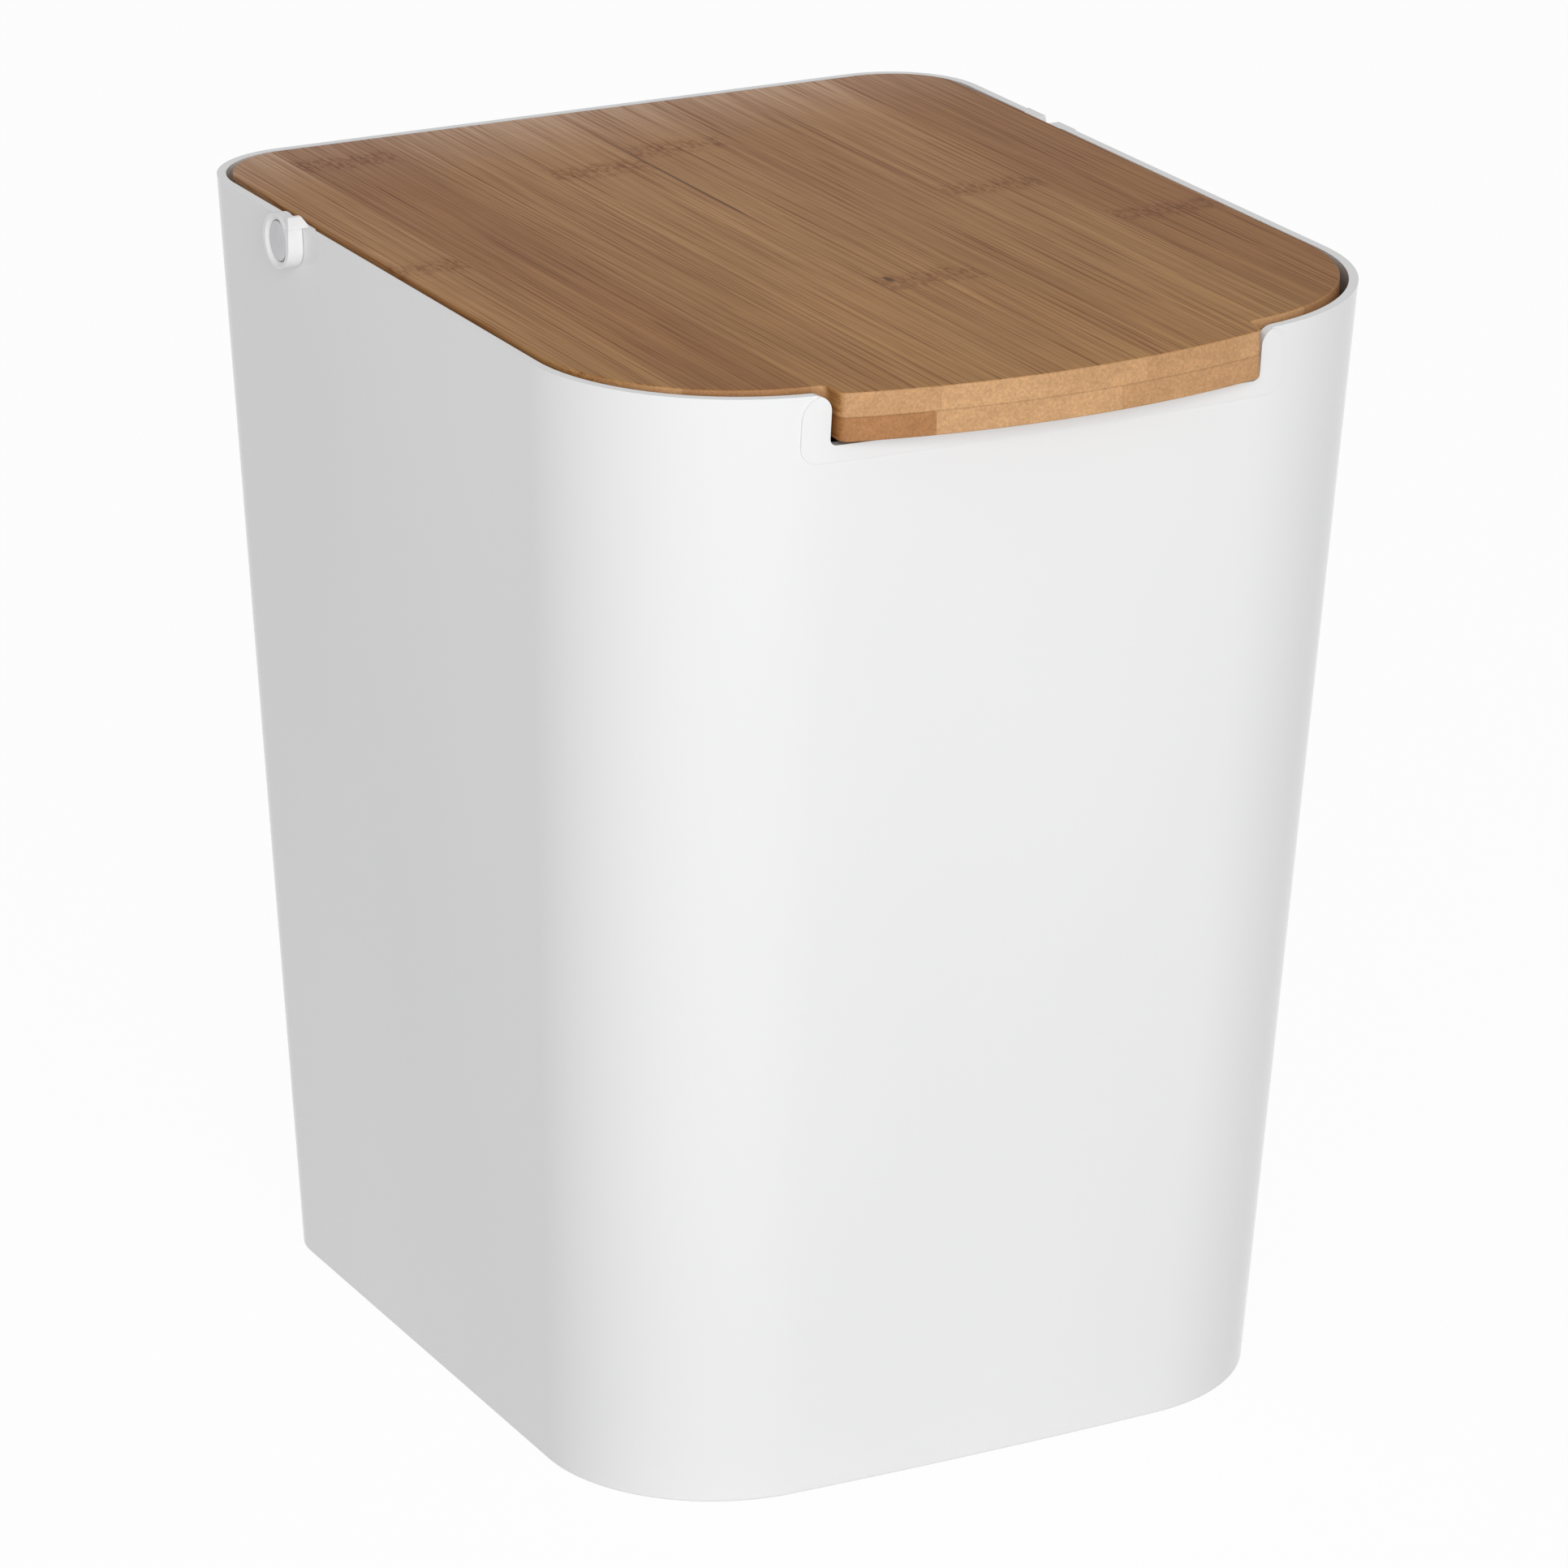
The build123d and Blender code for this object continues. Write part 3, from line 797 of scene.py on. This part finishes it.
def make_ring_bearing():
    """The left bearing: a closed ring round the pin, with a pocket for the pin's head."""
    bearing = make_core("bearing_left")
    slice_off(bearing, (0, 0, HEIGHT), (0, 0, 1))
    combine(bearing, "UNION", make_boss())
    combine(bearing, "UNION", make_tab())
    combine(bearing, "DIFFERENCE", round_bar("hole", SEAT_RADIUS, RIM_HALF / 2, BOSS_FACE_X))
    pocket = round_bar("pocket", POCKET_RADIUS, POCKET_FLOOR_X, BOSS_FACE_X + OVERCUT)
    combine(bearing, "DIFFERENCE", pocket)
    combine(bearing, "DIFFERENCE", dish_cutter())
    flip_to_left(bearing)
    soften(bearing, BEARING_SOFTNESS)
    return bearing


def make_pin(name, x_high, head_length):
    """A hinge pin pushed into the board's edge, with or without a flat head."""
    pin = round_bar(name, PIN_RADIUS, LID_HALF - PIN_IN_LID, x_high)
    if head_length:
        combine(pin, "UNION", round_bar("head", HEAD_RADIUS, x_high - head_length, x_high))
        flip_to_left(pin)
    soften(pin, BEARING_SOFTNESS)
    return pin


# Lid

def lid_outline():
    """Half of the board's outline: it follows the rim inside, with the tongue at the front."""
    depth = LID_BACK_Y - LID_FRONT_Y
    centre_y = (LID_BACK_Y + LID_FRONT_Y) / 2
    front_radius = RIM_FRONT_RADIUS - LID_CORNER_INSET
    back_radius = RIM_BACK_RADIUS - LID_CORNER_INSET
    _, front_x, front_y = bowed_front(LID_HALF, depth, centre_y, front_radius, RIM_FRONT_BOW)
    root_x = TONGUE_HALF + TONGUE_ROOT_RADIUS
    root_y = front_y - sqrt((front_radius + TONGUE_ROOT_RADIUS) ** 2 - (root_x - front_x) ** 2)
    root_turn = atan2(front_y - root_y, root_x - front_x)
    nose_y = TONGUE_FRONT_Y + TONGUE_FRONT_RADIUS
    tip_x = TONGUE_HALF - TONGUE_CORNER_RADIUS
    tip_y = nose_y - sqrt((TONGUE_FRONT_RADIUS - TONGUE_CORNER_RADIUS) ** 2 - tip_x**2)
    tip_turn = atan2(nose_y - tip_y, tip_x)
    corner_x = LID_HALF - back_radius
    corner_y = LID_BACK_Y - back_radius
    lean = atan2(LID_REAR_TAPER, LID_BACK_Y - LID_TAPER_Y)
    to_side = (LID_HALF - corner_x) * cos(lean) + (LID_TAPER_Y - corner_y) * sin(lean)
    corner_turn = lean + acos(to_side / back_radius)
    side_x = corner_x + back_radius * cos(corner_turn)
    side_y = corner_y + back_radius * sin(corner_turn)
    z = LID_BOTTOM
    outline = start_outline("board", (0, LID_BACK_Y, z))
    draw_line(corner_x, 0, 0)
    draw_arc((corner_x, corner_y, z), corner_turn - pi / 2, BACK_STEPS)
    draw_line(LID_HALF - side_x, LID_TAPER_Y - side_y, 0)
    draw_line(0, front_y - LID_TAPER_Y, 0)
    draw_arc((front_x, front_y, z), -root_turn, FRONT_STEPS)
    draw_arc((root_x, root_y, z), root_turn, SMALL_STEPS)
    draw_line(0, tip_y - root_y, 0)
    draw_arc((tip_x, tip_y, z), -tip_turn, SMALL_STEPS)
    draw_arc((0, nose_y, z), tip_turn - pi / 2, BOW_STEPS)
    bpy.ops.object.mode_set(mode="OBJECT")
    return mirror_half(outline)


def make_board():
    """The whole board, with eased edges and its two pin holes, before it is divided into strips."""
    board = lid_outline()
    bpy.ops.object.mode_set(mode="EDIT")
    thicken((0, 0, LID_TOP - LID_BOTTOM))
    make_active(board)
    bpy.ops.object.mode_set(mode="EDIT")
    for z in (LID_BOTTOM, LID_TOP):
        select_level(board, z)
        bpy.ops.mesh.bevel(offset=LID_EDGE, segments=EDGE_SEGMENTS, affect="EDGES")
    face_outwards()
    bpy.ops.object.mode_set(mode="OBJECT")
    bore = round_bar("bore", PIN_RADIUS, LID_HALF - PIN_IN_LID, RIM_HALF)
    combine(board, "DIFFERENCE", mirror_half(bore))
    make_active(board)
    bpy.ops.object.mode_set(mode="EDIT")
    bpy.ops.mesh.select_all(action="SELECT")
    bpy.ops.mesh.quads_convert_to_tris()
    bpy.ops.object.mode_set(mode="OBJECT")
    return board


def strip_edges(seam_x, width, count):
    """The x of each strip's edges, counted out from one known seam."""
    left_seams = (count - 2) // 2
    seams = [seam_x + (i - left_seams) * width for i in range(count - 1)]
    return [-RIM_HALF] + seams + [RIM_HALF]


def copy_piece(piece, name):
    """A second piece of the same shape, under its own name."""
    make_active(piece)
    bpy.ops.object.duplicate()
    copy = bpy.context.object
    copy.name = name
    return copy


def make_strips(board, name, seam_x, width, count, side):
    """Saw one ply of the board, above (1) or below (-1) the glue line, into its strips."""
    ply = copy_piece(board, name)
    slice_off(ply, (0, 0, GLUE_Z), (0, 0, -side))
    edges = strip_edges(seam_x, width, count)
    strips = []
    for i in range(count):
        strip = copy_piece(ply, f"{name}_{i + 1}_dressed")
        if i > 0:
            slice_off(strip, (edges[i], 0, 0), (-1, 0, 0))
        if i < count - 1:
            slice_off(strip, (edges[i + 1], 0, 0), (1, 0, 0))
        shade(strip, LID_FLAT_ANGLE)
        strips.append(strip)
    bpy.data.objects.remove(ply)
    return strips


# Materials

def add(tree, kind, inputs=None, **settings):
    """A shader node, its settings, and a number, colour or link for each input."""
    node = tree.nodes.new(kind)
    for key, value in settings.items():
        setattr(node, key, value)
    for key, value in (inputs or {}).items():
        if isinstance(value, bpy.types.NodeSocket):
            tree.links.new(value, node.inputs[key])
        else:
            node.inputs[key].default_value = value
    return node


def calculate(tree, operation, *values):
    """The result of one sum with numbers or links."""
    return add(tree, "ShaderNodeMath", dict(enumerate(values)), operation=operation).outputs[0]


def rescale(tree, value, from_low, from_high, to_low, to_high):
    """Map one range of values to another, clamped at its ends."""
    inputs = {0: value, 1: from_low, 2: from_high, 3: to_low, 4: to_high}
    return add(tree, "ShaderNodeMapRange", inputs).outputs[0]


def blend_colours(tree, mode, factor, first, second):
    """Two colours mixed or multiplied, by a factor."""
    node = add(tree, "ShaderNodeMix", {0: factor, 6: first, 7: second}, data_type="RGBA", blend_type=mode)
    return node.outputs[2]


def spread(tree, noise, low, high):
    """Spread a noise's middle range over a range of values."""
    return rescale(tree, noise, NOISE_LOW, NOISE_HIGH, low, high)


def streaks(tree, coordinates, per_metre, detail=2.0):
    """Noise stretched by a different scale on each axis."""
    mapping = add(tree, "ShaderNodeMapping", {"Vector": coordinates, "Scale": per_metre})
    noise = add(tree, "ShaderNodeTexNoise", {"Vector": mapping.outputs[0], "Scale": 1.0, "Detail": detail})
    return noise.outputs[0]


def start_material(name):
    """A new material, its nodes, its shader, and coordinates that stay with the piece."""
    material = bpy.data.materials.new(name)
    material.use_nodes = True
    tree = material.node_tree
    coordinates = add(tree, "ShaderNodeTexCoord").outputs["Object"]
    return material, tree, tree.nodes["Principled BSDF"], coordinates


def grey(value):
    return (value, value, value, 1)


def tint(tree, shader, tint_noise, tints, roughness_noise, roughness):
    """Vary a shader's colour between two tints, and its roughness over a range, each by a noise."""
    colour = blend_colours(tree, "MIX", spread(tree, tint_noise, 0.0, 1.0), *tints)
    tree.links.new(colour, shader.inputs["Base Color"])
    tree.links.new(spread(tree, roughness_noise, *roughness), shader.inputs["Roughness"])


def add_relief(tree, shader, noise, strength, height):
    """Give a shader a fine relief by a noise."""
    bump = add(tree, "ShaderNodeBump", {"Height": noise, "Strength": strength, "Distance": height})
    tree.links.new(bump.outputs[0], shader.inputs["Normal"])


def tub_plastic():
    """Glossy white moulded plastic, with the faint unevenness of a moulded wall."""
    material, tree, shader, coordinates = start_material("tub_plastic")
    clouds = streaks(tree, coordinates, TUB_CLOUDS)
    haze = streaks(tree, coordinates, TUB_HAZE)
    tint(tree, shader, clouds, TUB_TINTS, haze, TUB_ROUGHNESS)
    ripples = streaks(tree, coordinates, TUB_RIPPLES)
    add_relief(tree, shader, ripples, RIPPLE_STRENGTH, RIPPLE_HEIGHT)
    return material


def bearing_plastic():
    """Softer white plastic of the small fittings."""
    material, tree, shader, coordinates = start_material("bearing_plastic")
    clouds = streaks(tree, coordinates, FITTING_CLOUDS)
    tint(tree, shader, clouds, FITTING_TINTS, clouds, FITTING_ROUGHNESS)
    return material


def pin_metal():
    """Dull grey metal, turned round the pin's axis."""
    material, tree, shader, coordinates = start_material("pin_metal")
    shader.inputs["Metallic"].default_value = METAL_SHARE
    grain = streaks(tree, coordinates, METAL_GRAIN)
    tint(tree, shader, grain, METAL_TINTS, grain, METAL_ROUGHNESS)
    return material


def by_strip(tree, index, values):
    """A different set of three numbers for each strip of a ply, counted from the left."""
    place = calculate(tree, "DIVIDE", calculate(tree, "ADD", index, 0.5), len(values))
    node = add(tree, "ShaderNodeValToRGB", {0: place})
    ramp = node.color_ramp
    ramp.interpolation = "CONSTANT"
    for i, numbers in enumerate(values):
        stop = ramp.elements[0] if i == 0 else ramp.elements.new(i / len(values))
        stop.color = (*numbers, 1)
    ramp.elements.remove(ramp.elements[-1])
    return add(tree, "ShaderNodeSeparateColor", {0: node.outputs[0]}).outputs


def near(tree, value, centre, reach):
    """1 at the centre, falling to 0 at the reach on either side."""
    away = calculate(tree, "ABSOLUTE", calculate(tree, "SUBTRACT", value, centre))
    return rescale(tree, away, 0.0, reach, 1.0, 0.0)


def product(tree, *values):
    """All the values multiplied."""
    result = values[0]
    for value in values[1:]:
        result = calculate(tree, "MULTIPLY", result, value)
    return result


def locate_strip(tree, x, seam_x, width, count):
    """The place across the board, in strips from a known seam, and the strip's number from the left."""
    across = calculate(tree, "DIVIDE", calculate(tree, "SUBTRACT", x, seam_x), width)
    index = calculate(tree, "ADD", calculate(tree, "FLOOR", across), (count - 2) // 2 + 1)
    return across, calculate(tree, "MINIMUM", index, count - 1)


def flat_face(tree, coordinates, moved, fibres, y, seam):
    """Colour of the flat faces: paler and pinker towards the back, which is a painted sheen of grazing light
    over faint scuffs, and darkened along the fibres.
    """
    towards_middle = rescale(tree, y, FRONT_COLOUR_Y, MIDDLE_COLOUR_Y, 0.0, 1.0)
    towards_back_sheen = rescale(tree, y, SHEEN_START_Y, SHEEN_END_Y, 0.0, 1.0)
    face = blend_colours(tree, "MIX", towards_middle, WOOD_FRONT, WOOD_MIDDLE)
    # Painted sheen: towards the back the colour is mixed to a paler, pinker one
    face = blend_colours(tree, "MIX", product(tree, towards_back_sheen, towards_back_sheen), face, WOOD_BACK_SHEEN)
    tone = product(
        tree,
        spread(tree, streaks(tree, coordinates, CLOUD_SCALE), *CLOUD_TONES),
        spread(tree, streaks(tree, coordinates, SANDING_SCALE), *SANDING_TONES),
        calculate(tree, "SUBTRACT", 1.0, seam),
    )
    face = blend_colours(tree, "MULTIPLY", 1.0, face, tone)
    fine = rescale(tree, fibres, *FIBRE_RANGE, 0.0, 1.0)
    broad = spread(tree, streaks(tree, moved, BROAD_SCALE), 0.0, 1.0)
    hairs = rescale(tree, streaks(tree, moved, HAIR_SCALE), *HAIR_RANGE, 0.0, 1.0)
    depth = calculate(tree, "MULTIPLY", fine, FIBRE_SHARE)
    depth = calculate(tree, "MULTIPLY_ADD", broad, BROAD_SHARE, depth)
    depth = calculate(tree, "MULTIPLY_ADD", hairs, HAIR_SHARE, depth)
    return blend_colours(tree, "MULTIPLY", depth, face, WOOD_STREAK)


def node_marks(tree, moved, y, index, place, strength, knot_share):
    """How dark the node bands are: a jagged row of short dashes across a strip."""
    jagged = calculate(tree, "MULTIPLY_ADD", streaks(tree, moved, JAG_SCALE), NODE_JAG, y)
    jagged = calculate(tree, "SUBTRACT", jagged, NODE_JAG / 2)
    centre = rescale(tree, place, 0.0, 1.0, -NODE_RANGE, NODE_RANGE)
    first = product(tree, near(tree, jagged, centre, NODE_REACH), strength)
    second = product(
        tree,
        near(tree, jagged, SECOND_NODE_Y, NODE_REACH),
        near(tree, index, SECOND_NODE_STRIP, 0.5),
        knot_share,
    )
    band = calculate(tree, "MAXIMUM", first, second)
    dashes = rescale(tree, streaks(tree, moved, DASH_SCALE), *DASH_RANGE, 0.0, 1.0)
    dashes = product(tree, dashes, rescale(tree, band, *BAND_RANGE, 0.0, 1.0))
    return calculate(tree, "MULTIPLY_ADD", dashes, DASH_SHARE, calculate(tree, "MULTIPLY", band, BAND_SHARE))


def seam_shade_and_knot(tree, x, y, seam_x, knot_share):
    """How dark the painted shade in the open seam and the knot's own dark are."""
    open_seam_shade = product(
        tree,
        near(tree, x, seam_x, OPEN_SEAM_WIDTH),
        rescale(tree, y, OPEN_SEAM_LOW, OPEN_SEAM_LOW + OPEN_SEAM_END, 0.0, knot_share),
        rescale(tree, y, OPEN_SEAM_MIDDLE, OPEN_SEAM_HIGH, 1.0, OPEN_SEAM_FADED),
        rescale(tree, y, OPEN_SEAM_HIGH, OPEN_SEAM_HIGH + OPEN_SEAM_END, 1.0, 0.0),
    )
    knot = product(
        tree,
        near(tree, x, KNOT_X, KNOT_WIDTH),
        near(tree, y, KNOT_Y, KNOT_LENGTH),
        KNOT_DEPTH * knot_share,
    )
    return calculate(tree, "MINIMUM", calculate(tree, "MAXIMUM", open_seam_shade, knot), SEAM_SHADE_AND_KNOT_LIMIT)


def sawn_end(tree, moved, z, seam):
    """Colour of the ends, sawn across the fibres: paler, with pores and the glue line between the plies."""
    tone = product(
        tree,
        spread(tree, streaks(tree, moved, PORE_SCALE), *PORE_TONES),
        spread(tree, streaks(tree, moved, LAYER_SCALE), *LAYER_TONES),
        rescale(tree, seam, 0.0, SEAM_DEPTH, 1.0, 1.0 - SEAM_DEPTH / 3),
        rescale(tree, near(tree, z, GLUE_Z, GLUE_LINE_WIDTH), 0.0, 1.0, 1.0, GLUE_LINE_TONE),
    )
    return blend_colours(tree, "MULTIPLY", 1.0, WOOD_EDGE, tone)


def bamboo(name, seam_x, width, strips, knot_share):
    """Pressed bamboo: straight fibres along the board, drawn anew in each strip, and sawn ends.

    The upper ply has a knot share of 1, which shows its second node band, the painted shade in its open seam,
    and its knot.
    """
    material, tree, shader, coordinates = start_material(name)
    x, y, z = add(tree, "ShaderNodeSeparateXYZ", {0: coordinates}).outputs
    across, index = locate_strip(tree, x, seam_x, width, len(strips))
    tone, band_place, band_strength = by_strip(tree, index, strips)
    darker = calculate(tree, "DIVIDE", calculate(tree, "SUBTRACT", 1.0, tone), 1.0 - WOOD_DARK[0])
    seam = rescale(tree, calculate(tree, "PINGPONG", across, 0.5), 0.0, SEAM_WIDTH / width, SEAM_DEPTH, 0.0)
    shifted = calculate(tree, "MULTIPLY_ADD", index, STRIP_SHIFT, y)
    moved = add(tree, "ShaderNodeCombineXYZ", {0: x, 1: shifted, 2: z}).outputs[0]
    fibres = streaks(tree, moved, FIBRE_SCALE, FIBRE_DETAIL)

    face = flat_face(tree, coordinates, moved, fibres, y, seam)
    marks = node_marks(tree, moved, y, index, band_place, band_strength, knot_share)
    face = blend_colours(tree, "MULTIPLY", marks, face, WOOD_DARK)
    face = blend_colours(tree, "MULTIPLY", darker, face, WOOD_DARK)
    # Painted shade in the open seam, and the knot's own dark colour
    face = blend_colours(tree, "MIX", seam_shade_and_knot(tree, x, y, seam_x, knot_share), face, WOOD_SEAM_SHADE_AND_KNOT)
    end = blend_colours(tree, "MULTIPLY", darker, sawn_end(tree, moved, z, seam), WOOD_DARK)

    normal = add(tree, "ShaderNodeSeparateXYZ", {0: add(tree, "ShaderNodeTexCoord").outputs["Normal"]})
    sawn = rescale(tree, calculate(tree, "ABSOLUTE", normal.outputs[1]), *SAWN_RANGE, 0.0, 1.0)
    tree.links.new(blend_colours(tree, "MIX", sawn, face, end), shader.inputs["Base Color"])
    shader.inputs["Roughness"].default_value = WOOD_ROUGHNESS
    shader.inputs["Specular IOR Level"].default_value = WOOD_SPECULAR
    add_relief(tree, shader, fibres, GRAIN_STRENGTH, GRAIN_HEIGHT)
    return material


def give(piece, material):
    """Make a material a piece's only one."""
    piece.data.materials.clear()
    piece.data.materials.append(material)


# Stage: floor, light and camera

def seen_plainly(tree):
    """1 for rays from the camera, in reflections and through glass, and 0 for the rest."""
    path = add(tree, "ShaderNodeLightPath").outputs
    seen = calculate(tree, "MAXIMUM", path["Is Camera Ray"], path["Is Glossy Ray"])
    return calculate(tree, "MAXIMUM", seen, path["Is Transmission Ray"])


def make_floor():
    """A plain pale floor, mostly white to the camera, that keeps the shadow."""
    deselect()
    bpy.ops.mesh.primitive_plane_add(size=FLOOR_SIZE, location=(0, 0, 0))
    floor = bpy.context.object
    floor.name = "floor"
    material = bpy.data.materials.new("floor")
    material.use_nodes = True
    tree = material.node_tree
    tree.nodes.remove(tree.nodes["Principled BSDF"])
    share = calculate(tree, "MULTIPLY", seen_plainly(tree), FLOOR_WHITE_SHARE)
    matt = add(tree, "ShaderNodeBsdfDiffuse", {"Color": grey(FLOOR_GREY)}).outputs[0]
    glow = add(tree, "ShaderNodeEmission", {"Color": grey(1.0), "Strength": 1.0}).outputs[0]
    mixed = add(tree, "ShaderNodeMixShader", {0: share, 1: matt, 2: glow}).outputs[0]
    tree.links.new(mixed, tree.nodes["Material Output"].inputs["Surface"])
    give(floor, material)


def make_world():
    """White to the camera and in reflections, and a plain grey light on everything."""
    world = bpy.data.worlds.new("studio")
    bpy.context.scene.world = world
    world.use_nodes = True
    tree = world.node_tree
    background = tree.nodes["Background"]
    background.inputs["Color"].default_value = grey(1.0)
    strength = rescale(tree, seen_plainly(tree), 0.0, 1.0, AMBIENT, 1.0)
    tree.links.new(strength, background.inputs["Strength"])


def direction_to(azimuth, elevation):
    """The direction to a place round the bin, with the azimuth counted from the front."""
    return Vector((sin(azimuth) * cos(elevation), -cos(azimuth) * cos(elevation), sin(elevation)))


def make_light():
    """A square soft lamp that looks at the middle of the bin from over the viewer."""
    direction = direction_to(KEY_AZIMUTH, KEY_ELEVATION)
    deselect()
    bpy.ops.object.light_add(type="AREA", location=CAMERA_AIM + direction * KEY_DISTANCE)
    light = bpy.context.object
    light.name = "key"
    light.rotation_euler = direction.to_track_quat("Z", "Y").to_euler()
    light.data.size = KEY_SIZE
    light.data.energy = KEY_POWER


def make_camera():
    """The camera, at the photo's angle and distance."""
    back = direction_to(CAMERA_AZIMUTH, CAMERA_ELEVATION)
    level = (-back).cross(Vector((0, 0, 1))).normalized()
    upright = level.cross(-back)
    right = level * cos(CAMERA_ROLL) + upright * sin(CAMERA_ROLL)
    up = upright * cos(CAMERA_ROLL) - level * sin(CAMERA_ROLL)
    bpy.ops.object.camera_add()
    camera = bpy.context.object
    camera.name = "camera"
    camera.data.lens = FOCAL_LENGTH
    camera.data.sensor_fit = "HORIZONTAL"
    camera.data.sensor_width = SENSOR_WIDTH
    place = CAMERA_AIM + back * CAMERA_DISTANCE + right * CAMERA_RIGHT + up * CAMERA_UP
    camera.matrix_world = Matrix.Translation(place) @ Matrix((right, up, back)).transposed().to_4x4()
    bpy.context.scene.camera = camera


def dress(piece, body, material, node):
    """Give a finished piece its material, its body and the node it stands for."""
    give(piece, material)
    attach(piece, body)
    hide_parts(node)


def main():
    white = tub_plastic()
    fitting = bearing_plastic()
    metal = pin_metal()
    dress(make_tub(), "bin", white, "bin_body")
    dress(make_ring_bearing(), "bin", fitting, "hinge_bearing_left")
    dress(make_open_bearing(), "bin", fitting, "hinge_bearing_right")
    dress(make_pin("pin_left", HEAD_FACE_X, HEAD_LENGTH), "lid", metal, "hinge_pin_left")
    dress(make_pin("pin_right", PIN_END_X, 0), "lid", metal, "hinge_pin_right")
    board = make_board()
    top_wood = bamboo("bamboo_top", TOP_SEAM_X, TOP_STRIP_WIDTH, TOP_STRIPS, 1.0)
    bottom_wood = bamboo("bamboo_bottom", BOTTOM_SEAM_X, BOTTOM_STRIP_WIDTH, BOTTOM_STRIPS, 0.0)
    top = make_strips(board, "lid_top_strip", TOP_SEAM_X, TOP_STRIP_WIDTH, len(TOP_STRIPS), 1)
    bottom = make_strips(board, "lid_bottom_strip", BOTTOM_SEAM_X, BOTTOM_STRIP_WIDTH, len(BOTTOM_STRIPS), -1)
    for i, strip in enumerate(top):
        dress(strip, "lid", top_wood, f"lid_top_strip_{i + 1}")
    for i, strip in enumerate(bottom):
        dress(strip, "lid", bottom_wood, f"lid_bottom_strip_{i + 1}")
    bpy.data.objects.remove(board)
    make_floor()
    make_world()
    make_light()
    make_camera()


main()
bpy.context.scene.view_settings.view_transform = "Standard"
